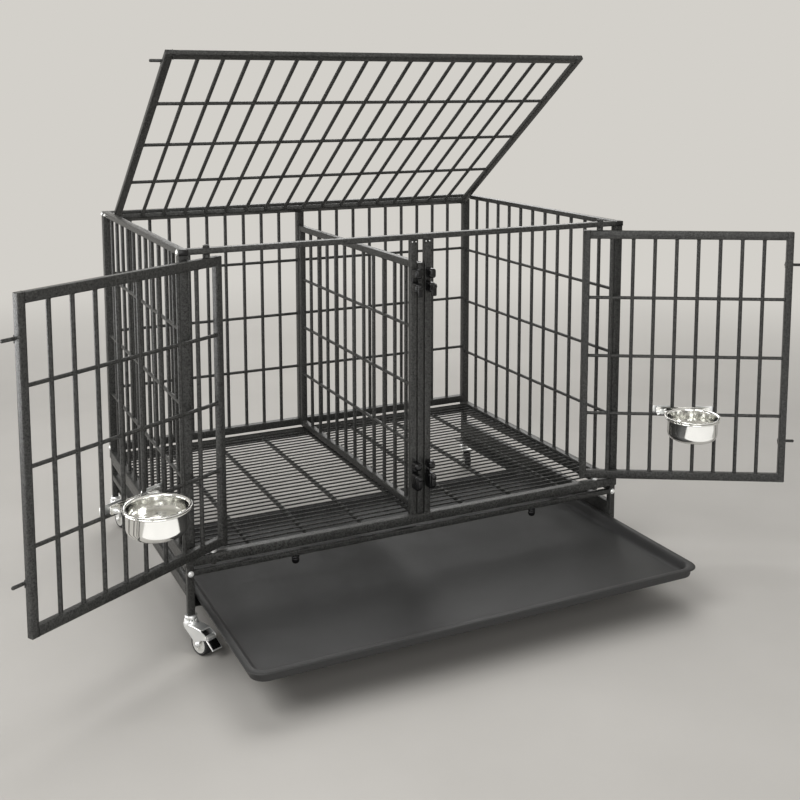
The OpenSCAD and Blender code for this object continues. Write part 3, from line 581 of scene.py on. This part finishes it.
def pinOnPlate(edge, face, z, plateWide):
    # a round-ended rod welded along a small plate, on a face that looks to -y
    rod, sheet, half = latchPin["rod"], latchPin["plate"], latchPin["plateHigh"] / 2
    start, length = edge - plateWide, plateWide + latchPin["reach"]
    rodShape = [[0, 0], [rod * 0.3, 0.2], [rod / 2, 1.4], [rod / 2, length - 2.4],
                [rod * 0.36, length - 0.6], [0, length]]
    shells = [pillow([start, face - sheet, z - half], [edge, face, z + half], latchPin["plateEdge"]),
              lathe(rodShape, [start, face - rod / 2 - sheet / 4, z], [1, 0, 0], 20)]
    weldY, weldSection = face - latchPin["weldOut"], circle(latchPin["weld"], 10)
    for weldZ in (z + latchPin["weldZ"], z - latchPin["weldZ"]):
        shells.append(strut([start + latchPin["weldEnd"], weldY, weldZ],
                            [edge - latchPin["weldEnd"], weldY, weldZ], weldSection, 0.6))
    return shells


doorPins = [shell for z in latchPin["heights"]
            for shell in pinOnPlate(door["right"], door["front"], z, door["stile"])]

pivot = {"pin": 8, "collar": 7.5, "edge": 0.8, "gap": 0.3, "pinIn": 1, "pinOver": 2, "pinUnder": 3}
gap, collar, edge = pivot["gap"], pivot["collar"], pivot["edge"]


def collarShape(low, high):
    # a short cylinder with broken edges
    return [[0, low], [collar - edge, low], [collar, low + edge], [collar, high - edge],
            [collar - edge, high], [0, high]]


def onPivot(z):
    # a point on the left door's pivot line
    return [door["pivotX"], door["pivotY"], z]


washerShape = [[0, 0], [collar, 0], [collar, 1.0], [0, 1.0]]
nutShape = [[0, 0.8], [6.6, 0.8], [6.9, 1.4], [6.9, 4.2], [6.2, 4.8], [4.2, 4.8], [4.0, 5.4],
            [3.2, 6.0], [0, 6.0]]
pinSection = circle(pivot["pin"])
doorPivots = [
    lathe(collarShape(door["high"], topRailZ - gap), onPivot(0), [0, 0, 1], 28),
    strut(onPivot(door["high"] - pivot["pinIn"]), onPivot(top + gap + pivot["pinOver"]), pinSection),
    strut(onPivot(underside - gap - pivot["pinUnder"]), onPivot(sill + pivot["pinIn"]), pinSection)]
for z, way in ((top + gap, 1), (underside - gap, -1)):
    doorPivots += [lathe(washerShape, onPivot(z), [0, 0, way], 28),
                   lathe(nutShape, onPivot(z), [0, 0, way], 6)]
doorBushings = [lathe(collarShape(sill + gap, door["low"]), onPivot(0), [0, 0, 1], 28)]

# bowls in their clamped rings

bowl = {"x": -265, "y": 82.6, "rim": 390, "height": 55, "radius": 59, "foot": 42, "wall": 1.2,
        "bead": 65.5, "beadWire": 1.2}
radius, foot, height, wall = (bowl[key] for key in ("radius", "foot", "height", "wall"))
bend, wire = radius - foot, bowl["beadWire"]
curve = np.radians(np.linspace(-90, 0, 10))
outerWall = np.stack([foot + bend * np.cos(curve), bend + bend * np.sin(curve)], -1)
innerWall = np.stack([foot + (bend - wall) * np.cos(curve),
                      wall + (bend - wall) * (1 + np.sin(curve))], -1)
roll = np.radians(np.linspace(110, -170, 14))
rolled = [bowl["bead"] - wire, height - 0.3] + wire * np.stack([np.cos(roll), np.sin(roll)], -1)
bowlProfile = np.concatenate([
    [[0, 1.4], [26, 1.4], [29, 0.6], [33, 0], [foot - 4, 0]], outerWall,
    [[radius, height - 3.2], [radius + 0.8, height - 1.2], [radius + 2, height - 0.5]], rolled[::-1],
    [[radius + 1, height + 0.5], [radius - 0.6, height - 1], [radius - wall, height - 3.2]],
    innerWall[::-1], [[33, wall], [29, 1.8], [26, 2.6], [0, 2.6]]])
bowlShell = [lathe(bowlProfile, [bowl["x"], bowl["y"], bowl["rim"] - height], [0, 0, 1], 72)]

holder = {"clampXs": (-326.53, -223.42), "end": 14, "front": 14.8, "sheet": 2, "low": 374, "high": 392,
          "corner": 5, "ring": 62.3, "ringIn": 0.6, "ringZ": 384.2, "wire": 4, "tab": 12,
          "tabHalf": 1.5, "bolt": 6, "boltZ": 379.6, "plateLong": 56, "plateCorner": 4, "gap": 0.3,
          "threads": 5, "wingTilt": 18, "wingThick": 2.2}
stripLow, stripHigh = holder["clampXs"][0] - holder["end"], holder["clampXs"][1] + holder["end"]
sheet, ringZ, boltZ = holder["sheet"], holder["ringZ"], holder["boltZ"]


def strip(middleX, length, front, corner):
    # a flat strip with round corners that stands on its edge
    outline = boxSection(length, holder["high"] - holder["low"], corner, 5)
    origin = [middleX, front + sheet, (holder["high"] + holder["low"]) / 2]
    return plate(outline, [0, 0], origin, [1, 0, 0], [0, 0, 1], sheet, 0.4)


weldY = holder["front"] + sheet
holderShells = [
    strip((stripLow + stripHigh) / 2, stripHigh - stripLow, holder["front"], holder["corner"]),
    ringBead([bowl["x"], bowl["y"], ringZ], [0, 0, 1], holder["ring"] - holder["ringIn"],
             holder["wire"] / 2, 0, 72, 14),
    pillow([bowl["x"] - holder["tab"], weldY - 1, ringZ - holder["tabHalf"]],
           [bowl["x"] + holder["tab"], bowl["y"] - holder["ring"], ringZ + holder["tabHalf"]], 0.9)]
holderShells += [ellipsoid([bowl["x"] + x, weldY + 1.2, ringZ - 1], [3.4, 2.2, 2.6])
                 for x in (-11, 11)]

# a clamp plate, a domed bolt head, its shank with thread rings, and a wing nut
nutY = weldY + holder["gap"]
plateY = door["pivotY"] - bars["upright"] / 2 - holder["gap"] - sheet
headShape = [[0, -2.6], [3.2, -2.4], [4.9, -1.2], [5.2, 0], [0, 0]]
wingHubShape = [[0, 0], [6.4, 0], [6.4, 1.4], [5.4, 2.4], [4.7, 7], [4.2, 7.6], [0, 7.6]]
wingOutline = softLine([[3, 0.5], [3, 7], [7, 12], [12.5, 13.2], [14, 10.5], [12, 6], [8, 2],
                        [5, 0.2]], loop=True)
wingTilt = np.radians(holder["wingTilt"])
clamps = []
for x in holder["clampXs"]:
    clamps += [strip(x, holder["plateLong"], plateY, holder["plateCorner"]),
               lathe(headShape, [x, plateY, boltZ], [0, 1, 0], 24),
               strut([x, plateY + 1, boltZ], [x, nutY + 12, boltZ], circle(holder["bolt"], 18), 0.7),
               lathe(wingHubShape, [x, nutY, boltZ], [0, 1, 0], 28)]
    clamps += [ringBead([x, nutY + 8 + 0.8 * k, boltZ], [0, 1, 0], 2.9, 0.34, 0, 16, 6)
               for k in range(holder["threads"])]
    for sign in (-1, 1):
        out = sign * np.array([np.cos(wingTilt), 0, np.sin(wingTilt)])
        origin = [x, nutY, boltZ] - np.cross(out, [0, 1, 0]) * holder["wingThick"] / 2
        clamps.append(plate(wingOutline, [8, 6.5], origin, out, [0, 1, 0], holder["wingThick"], 0.7))

doorPieces = (("DoorFrame", doorFrame, coat, "_door", ["_door_frame"]),
              ("DoorBars", doorBars, coat, "_door", ["_door_bars"]),
              ("DoorLatchPins", doorPins, coat, "_door", ["_door_latch_pins"]),
              ("DoorPivots", doorPivots, coat, "_door", ["_door_pivots"]),
              ("BowlHolder", holderShells, steel, "_door", ["_bowl_holder"]),
              ("HolderClamps", clamps, zinc, "_door", ["_holder_clamps"]),
              ("DoorBushings", doorBushings, zinc, "_door", []),
              ("Bowl", bowlShell, steel, "_bowl", ["_bowl"]))
for side, flip in sides:
    for word, shells, slotName, body, nodes in doorPieces:
        opened = turned(shells, onPivot(0), 2, door["open"])
        build(side + word, flip(opened), slotName, side + body, *[side + node for node in nodes],
              sharp=60 if word == "Bowl" else 38)
print("doors and bowls made")

# lid, made closed and then raised

lid = {"half": 523, "front": 22, "back": 748, "stile": 18, "rail": 20, "bars": 17, "pivotY": 720,
       "open": -35, "pinIn": 45, "pivot": 8, "pivotOut": 4, "plugX": 498, "boltIn": 10}
lidMiddle = top - crate["topRail"] / 2
lidPivot = [0, lid["pivotY"], lidMiddle]
lidFrame, lidBars = panel([-lid["half"], lid["front"], topRailZ], [lid["half"], lid["back"], top],
                          lid["stile"], lid["rail"], lid["bars"], 1)
# the pin lies on the top face: made on a face that looks to -y, then laid back
lidPin = mirrored(pinOnPlate(lid["half"], 0, 0, lid["stile"]))
lidPin = [grid[..., [0, 2, 1]] * [1, 1, -1] + [0, lid["front"] + lid["pinIn"], top] for grid in lidPin]
lidPivots = [lathe([[0, 0], [5.6, 0], [5.6, 1.7], [0, 1.7]], [lid["half"], *lidPivot[1:]],
                   [1, 0, 0], 24),
             strut([lid["half"] - 1, *lidPivot[1:]], [halfWidth + lid["pivotOut"], *lidPivot[1:]],
                   circle(lid["pivot"]))]
lidPivots += mirrored(lidPivots)
lidPieces = (("lidFrame", lidFrame, coat, "lid_frame"),
             ("lidBars", lidBars, coat, "lid_bars"),
             ("lidLatchPin", lidPin, coat, "lid_latch_pin"),
             ("lidPivots", lidPivots, zinc, "lid_pivots"))
for word, shells, slotName, node in lidPieces:
    build(word, turned(shells, lidPivot, 0, lid["open"]), slotName, "lid", node)
print("lid made")

# tray: one profile, from under the middle round the rim and back, carried round a rounded rectangle

tray = {"halfWidth": 521, "front": -345, "length": 735, "low": 88.3, "sheet": 3, "corner": 34,
        "leastCorner": 6, "cornerDraw": 0.45, "cornerSteps": 12}
under = softLine([[230, 0], [26, 0], [10, 0], [8.5, 4], [7.5, 17], [5, 19.2], [1.5, 18.6],
                  [0.6, 18.6]])
over = softLine([[0, 19.2], [0, 21], [2.5, 22.1], [8, 22.3], [14, 21.6], [19, 17], [24, 6.5],
                 [30, 3.3], [42, 3], [70, 3], [230, 3]])
profile = np.concatenate([under, over])
inset, rise = profile[:, :1], profile[:, 1:]
bend = np.maximum(tray["corner"] - tray["cornerDraw"] * inset, tray["leastCorner"])
x, y = roundOutline(tray["halfWidth"] - inset, tray["length"] / 2 - inset, bend, tray["cornerSteps"])
foot, cover = (np.tile([0.0, 0.0, z], (1, x.shape[1], 1)) for z in (0, tray["sheet"]))
trayGrid = closed(np.concatenate([foot, np.stack([x, y, rise + 0 * x], -1), cover], 0))
trayGrid = trayGrid + [0, tray["front"] + tray["length"] / 2, tray["low"]]
build("tray", [trayGrid], "tray_plastic", "tray", "tray", sharp=60)

# latches: two blocks with a slot between them, a cheek at the back of the slot, and a turn lever

latch = {"left": -25, "right": -9, "front": -22, "back": 5, "round": 5.5, "screws": (731, 295),
         "blocks": ((748, 769), (716, 738), (312, 329), (266, 302)), "cheekIn": 3, "cheekFront": 2.6,
         "cheekHalf": 12, "lever": 22, "leverWide": 12, "leverFront": -28, "leverThick": 5.7,
         "leverRound": 2.6, "grip": 1.6, "gripHalf": 4}
housings = [pillow([latch["left"], latch["front"], low], [latch["right"], latch["back"], high],
                   latch["round"], 6) for low, high in latch["blocks"]]
# the cheeks stay behind the pins of the shut doors
housings += [pillow([latch["left"] + latch["cheekIn"], latch["cheekFront"], z - latch["cheekHalf"]],
                    [latch["right"] - latch["cheekIn"], latch["back"], z + latch["cheekHalf"]], 1)
             for z in latchPin["heights"]]
build("latchHousings", housings + mirrored(housings), nylon, "crate", "latch_housings", sharp=60)
leverX, half = (latch["left"] + latch["right"]) / 2, latch["leverWide"] / 2
foot, front = latch["lever"] - half, latch["leverFront"]
for word, z in zip(("upper", "lower"), latch["screws"]):
    shells = [pillow([leverX - half, front, z - foot - half],
                     [leverX + half, front + latch["leverThick"], z + half], latch["leverRound"], 6)]
    shells += [strut([leverX - latch["gripHalf"], front, z - foot + k],
                     [leverX + latch["gripHalf"], front, z - foot + k],
                     circle(latch["grip"], 10), 0.6) for k in (-3, 0, 3, 6)]
    for side, flip in sides:
        build(side + word.title() + "Latch", flip(shells), nylon, f"{word}_{side}_latch",
              f"{word}_{side}_latch", sharp=60)
print("tray and latches made")

# bolts, plugs and caps

bolt = {"radius": 5, "high": 3, "washer": 6.4, "socket": 2.2, "lidShare": 0.55, "smallZ": 828,
        "smallXs": (-5, 4), "smallRadii": [1.7, 0.9, 1.7]}
head, headTop, washer, socket = (bolt[key] for key in ("radius", "high", "washer", "socket"))
boltShape = np.array([[0, 1.4], [socket * 0.8, 1.4], [socket, 1.6], [socket, headTop],
                      [head * 0.6, headTop], [head * 0.88, headTop * 0.72], [head, headTop * 0.3],
                      [head, 0.7], [washer, 0.7], [washer, 0], [0, 0]])
screwShape = [[0, 1.2], [2.6, 1.2], [2.8, 1.4], [2.8, 2.5], [4, 2.4], [5.2, 1.6], [5.4, 0.4],
              [5.4, 0], [0, 0]]
fasteners = [lathe(boltShape, [-halfWidth, y, z], [-1, 0, 0], 24)
             for y, z in ((frontY, lidMiddle), (frontY, underside + post / 2),
                          (rearY, lidMiddle), (rearY, sill + post / 2))]
fasteners.append(lathe(boltShape, [-postX, frontY - legHalf, base["tieLow"] + tieHalf],
                       [0, -1, 0], 24))
build("fasteners", fasteners + mirrored(fasteners), zinc, "crate", "fasteners")
leverScrews = []
for z in latch["screws"]:
    leverScrews += [lathe(screwShape, [leverX, front - 0.3, z], [0, -1, 0], 24),
                    strut([leverX, latch["front"] + 1, z], [leverX, front - 0.5, z],
                          circle(6, 18), 0.2)]
build("leverScrews", leverScrews + mirrored(leverScrews), nylon, "crate")
smallBolts = [ellipsoid([sign * (middlePostX + x), middlePost["front"], bolt["smallZ"]],
                        bolt["smallRadii"], 12) for sign in (-1, 1) for x in bolt["smallXs"]]
build("smallBolts", smallBolts, zinc, "crate")

cap = {"thick": 2, "in": 0.2, "round": 0.95}
caps = [pillow([-halfWidth + cap["in"], y, topRailZ + cap["in"]],
               [-inner - cap["in"], y + cap["thick"], top - cap["in"]], cap["round"])
        for y in (-cap["thick"], depth)]
build("railEndCaps", caps + mirrored(caps), nylon, "crate", "rail_end_caps")
lidPlugs = [lathe([[0, 0.7], [2.4, 0.6], [3.2, 0], [0, 0]],
                  [x, lid["front"] + lid["rail"] / 2, top], [0, 0, 1], 20)
            for x in (-lid["plugX"], lid["plugX"])]
build("lidPlugs", turned(lidPlugs, lidPivot, 0, lid["open"]), nylon, "lid")
stileX = lid["half"] - lid["stile"] / 2
lidBolts = [lathe(boltShape * bolt["lidShare"], [x, y, top], [0, 0, 1], 20) for x in (-stileX, stileX)
            for y in (lid["front"] + lid["boltIn"], lid["back"] - lid["boltIn"])]
build("lidBolts", turned(lidBolts, lidPivot, 0, lid["open"]), zinc, "lid")
print("fasteners made")

# casters, each made facing the front at the origin and then turned under its leg

caster = {"wheel": 25, "trail": 34, "axle": 6, "axleOut": 2.2, "sheet": 2.2, "plateX": 11.1,
          "crown": 56, "crownThick": 4, "balls": 14, "ball": 2.1, "ballRing": 11.6, "ballZ": 66.2,
          "ribs": 6,
          "turns": {"front_left": 24, "front_right": -24, "rear_left": 16, "rear_right": -16}}
pedal = {"pinZ": 46.25, "pin": 4, "pinOut": 0.6, "wide": 26, "near": -5, "long": 26, "tilt": 40,
         "border": 2.4, "ribs": 5, "ribStep": 4}
trail, crown, wheelZ = caster["trail"], caster["crown"], caster["wheel"]
pinY, pinZ = -trail - wheelZ, pedal["pinZ"]
axleAt = [0, -trail, wheelZ]
tyreShape = softLine([[19, -9.4], [19.5, -10], [22, -10], [24.2, -8.4], [25, -4.5], [25, 4.5],
                      [24.2, 8.4], [22, 10], [19.5, 10], [19, 9.4]])
tyreShape = np.concatenate([tyreShape, tyreShape[:1]])
hubShape = [[3.05, -10.4], [6, -10.5], [6.4, -10], [6.8, -7.4], [14.6, -7.0], [15.4, -9.2],
            [19, -9.4], [19, 9.4], [15.4, 9.2], [14.6, 7.0], [6.8, 7.4], [6.4, 10], [6, 10.5],
            [3.05, 10.4], [3.05, -10.4]]
tyreShells = [lathe(tyreShape, axleAt, [1, 0, 0], 56)]
hubShells = [lathe(hubShape, axleAt, [1, 0, 0], 48)]
rib = pillow([-8.6, -trail - 0.8, wheelZ + 6], [8.6, -trail + 0.8, wheelZ + 15.4], 0.6, 3)
for k in range(caster["ribs"]):
    hubShells += turned([rib], axleAt, 0, 360 / caster["ribs"] * k)


def forkShells(brake):
    # two pressed cheeks under a crown with a turned bearing cup and its balls, an axle with a head
    # and a nut, and a pin for the pedal where there is a brake
    span = caster["plateX"] + caster["sheet"]
    cheek = [[10, crown + 3], [-trail - 12, crown + 3], [-trail - 10, crown - 8],
             [-trail - 6.5, wheelZ], [-trail - 4, wheelZ - 6], [-trail + 4, wheelZ - 6],
             [-trail + 6.5, wheelZ], [-6, crown - 14], [8, crown - 5]]
    if brake:
        cheek[1:3] = [[-trail - 6, crown + 3], [-trail - 14, crown], [pinY - 4, pinZ + 5],
                      [pinY - 5, pinZ - 3], [pinY, pinZ - 5], [-trail - 9, pinZ - 9]]
    outline = softLine(cheek, loop=True)
    shells = [plate(outline, [-trail, crown - 10], [x, 0, 0], [0, 1, 0], [0, 0, 1], caster["sheet"])
              for x in (-span, caster["plateX"])]
    shells.append(pillow([-span, -trail - 12, crown], [span, 10, crown + caster["crownThick"]], 1.6))
    cup = [[5.1, crown + 0.2], [15, crown + 0.2], [15, 63], [14.2, 65.4], [12.2, 66.2], [12.2, 64.6],
           [9, 64.2], [5.1, 64.2], [5.1, crown + 0.2]]
    shells.append(lathe(cup, [0, 0, 0], [0, 0, 1]))
    for x, y in circle(2 * caster["ballRing"], caster["balls"]):
        shells.append(ellipsoid([x, y, caster["ballZ"]], [caster["ball"]] * 3, 12))
    axleEnd = span + caster["axleOut"]
    shells.append(strut([-axleEnd, *axleAt[1:]], [axleEnd, *axleAt[1:]],
                        circle(caster["axle"], 18), 0.6))
    axleNut = [[0, 0], [5.2, 0], [5.2, 1], [4.6, 3], [3.4, 3.6], [0, 3.6]]
    shells += [lathe(axleNut, [way * span, *axleAt[1:]], [way, 0, 0], count)
               for way, count in ((-1, 24), (1, 6))]
    if brake:
        pinEnd = span + pedal["pinOut"]
        shells.append(strut([-pinEnd, pinY, pinZ], [pinEnd, pinY, pinZ],
                            circle(pedal["pin"], 16), 0.4))
    return shells


# the pedal: a pressed plate on a sleeve that turns on its pin, and a ribbed foot pad on the plate
half, near, far = pedal["wide"] / 2, pedal["near"], pedal["near"] - pedal["long"]
padX, border = half - pedal["border"], pedal["border"]
sleeve = [[2.05, -10.5], [4, -10.5], [4.3, -10], [4.3, 10], [4, 10.5], [2.05, 10.5], [2.05, -10.5]]
pedalPlate = [pillow([-10.5, -10, -2], [10.5, 2, 2], 1.5),
              pillow([-half, far, -2], [half, near, 0.6], 1.2, 5),
              lathe(sleeve, [0, 0, 0], [1, 0, 0], 24)]
pedalPad = [pillow([-padX, far + border, -0.5], [padX, near - border, 2], 1.0, 5)]
for y in far + 5 + pedal["ribStep"] * np.arange(pedal["ribs"]):
    pedalPad.append(strut([-half + 4.5, y, 1.8], [half - 4.5, y, 1.8], circle(1.8, 10), 0.7))
pedalPlate, pedalPad = (
    [grid + [0, pinY, pinZ] for grid in turned(shells, [0, 0, 0], 0, pedal["tilt"])]
    for shells in (pedalPlate, pedalPad))
stemShape = np.concatenate([
    softLine([[0, 54.2], [7.5, 54.2], [7.5, 55.7], [5, 55.8]], 1),
    [[5, 67], [9.2, 67.4], [12.4, 68.6], [13, 69.6], [13, 74.4], [12, 76], [5, 76], [5, 160],
     [0, 160]]])
stems = []
for corner, turn in caster["turns"].items():
    brake = corner.startswith("front")
    x, y = -postX if corner.endswith("left") else postX, frontY if brake else rearY
    groups = [("Fork", forkShells(brake), zinc, "caster", ["fork"]),
              ("Hub", hubShells, "hub_plastic", "wheel", ["hub"]),
              ("Tyre", tyreShells, "tyre_rubber", "wheel", ["tyre"])]
    if brake:
        groups += [("PedalPlate", pedalPlate, zinc, "pedal", []),
                   ("PedalPad", pedalPad, nylon, "pedal", ["brake"])]
    for word, shells, slotName, body, nodes in groups:
        placed = [grid + [x, y, 0] for grid in turned(shells, [0, 0, 0], 2, turn)]
        build(corner.replace("_", "") + word, placed, slotName, f"{corner}_{body}",
              *[f"{corner}_{node}" for node in nodes], sharp=45)
    stems.append(lathe(stemShape, [x, y, 0], [0, 0, 1], 32))
build("casterStems", stems, zinc, "crate", "caster_stems")
print("casters made")

# stage: pale floor, soft light and the camera, in metres

stage = {"back": "#d3d0ca", "floorDark": "#b1aea9", "floorPale": "#bfbcb7", "mottle": 400, "near": 1.5,
         "far": 4.2, "reach": 40, "fill": "#f2f1ee", "fillStrength": 0.16}
reach = stage["reach"]
floorMesh = bpy.data.meshes.new("floor")
floorMesh.from_pydata([(-reach, -reach, 0), (reach, -reach, 0), (reach, reach, 0), (-reach, reach, 0)],
                      [], [(0, 1, 2, 3)])
floorPiece = newObject("floor", floorMesh)


def seenRays(tree):
    # 1 for rays from the camera, in reflections and through clear things, 0 for scattered light
    rays = add(tree, "LightPath").outputs
    seen = rays["Is Camera Ray"]
    for name in ("Is Glossy Ray", "Is Transmission Ray"):
        seen = add(tree, "Math", {0: seen, 1: rays[name]}, operation="MAXIMUM").outputs[0]
    return seen


# plain painted floor that fades into the backdrop far from the object
paint, tree, shader, place = newMaterial("palePaintedFloor", Roughness=0.75, Specular_IOR_Level=0.0)
mottle = cloudy(tree, place, stage["mottle"], 6.0)
tree.links.new(mixColours(tree, mottle, stage["floorDark"], stage["floorPale"]),
               shader.inputs["Base Color"])
distance = add(tree, "VectorMath", {0: place}, operation="LENGTH").outputs["Value"]
fade = ranged(tree, distance, 0.0, 1.0, stage["near"], stage["far"], interpolation_type="SMOOTHSTEP")
fade = add(tree, "Math", {0: fade, 1: seenRays(tree)}, operation="MULTIPLY").outputs[0]
glow = add(tree, "Emission", {"Color": linearColour(stage["back"])}).outputs[0]
blend = add(tree, "MixShader", {0: fade, 1: shader.outputs[0], 2: glow}).outputs[0]
tree.links.new(blend, tree.nodes["Material Output"].inputs["Surface"])
floorMesh.materials.append(paint)

# the world shows the backdrop where it is seen, and lights the object with a weaker fill
world = bpy.data.worlds.new("studio")
world.use_nodes = True
bpy.context.scene.world = world
tree = world.node_tree
tree.nodes.clear()
fill, back = (
    add(tree, "Background", {"Color": linearColour(colour), "Strength": strength}).outputs[0]
    for colour, strength in ((stage["fill"], stage["fillStrength"]), (stage["back"], 1.0)))
blend = add(tree, "MixShader", {0: seenRays(tree), 1: fill, 2: back}).outputs[0]
tree.links.new(blend, add(tree, "OutputWorld").inputs["Surface"])

# the card lies on the floor and looks up; the lamp overhead shows in no reflection, so that it
# doesn't fill the bowls, and the side lamp shows only in reflections
target = (0, 0.1, 0.5)
lamps = {"key": {"at": (-2.6, -1.4, 3.0), "size": (2.0, 2.0), "power": 95},
         "front": {"at": (-0.9, -3.9, 1.4), "size": (2.6, 2.6), "power": 54},
         "over": {"at": (0.3, 0.6, 3.6), "size": (3.0, 3.0), "power": 80, "glossy": False},
         "rear": {"at": (1.4, 3.0, 2.4), "size": (2.4, 2.4), "power": 45},
         "card": {"at": (-0.6, -1.3, 0.03), "size": (4.0, 1.35), "power": 9.5,
                  "facing": (-0.6, -1.29, 1.0)},
         "side": {"at": (-2.6, 0.5, 0.45), "size": (1.8, 0.8), "power": 38, "diffuse": False}}
for name, lamp in lamps.items():
    light = bpy.data.lights.new(name, "AREA")
    light.shape = "RECTANGLE"
    light.energy, light.size, light.size_y = lamp["power"], *lamp["size"]
    lampObject = newObject(name, light)
    lampObject.location = lamp["at"]
    lampObject.visible_camera = False
    lampObject.visible_diffuse = lamp.get("diffuse", True)
    lampObject.visible_glossy = lamp.get("glossy", True)
    toward = np.array(lamp.get("facing", target)) - lamp["at"]
    level = np.hypot(toward[0], toward[1])
    lampObject.rotation_euler = (np.arctan2(level, -toward[2]), 0, np.arctan2(-toward[0], toward[1]))

view = {"at": (-1.1052, -2.3763, 1.1702), "yaw": -0.459, "pitch": -0.1242, "lens": 50.02, "sensor": 36,
        "shift": (-0.0089, -0.22)}
cameraData = bpy.data.cameras.new("camera")
cameraData.lens, cameraData.sensor_width = view["lens"], view["sensor"]
cameraData.shift_x, cameraData.shift_y = view["shift"]
camera = newObject("camera", cameraData)
camera.location = view["at"]
camera.rotation_euler = (np.pi / 2 + view["pitch"], 0, view["yaw"])
bpy.context.scene.camera = camera
bpy.context.scene.view_settings.view_transform = "Standard"
print("stage made")

bpy.context.view_layer.update()
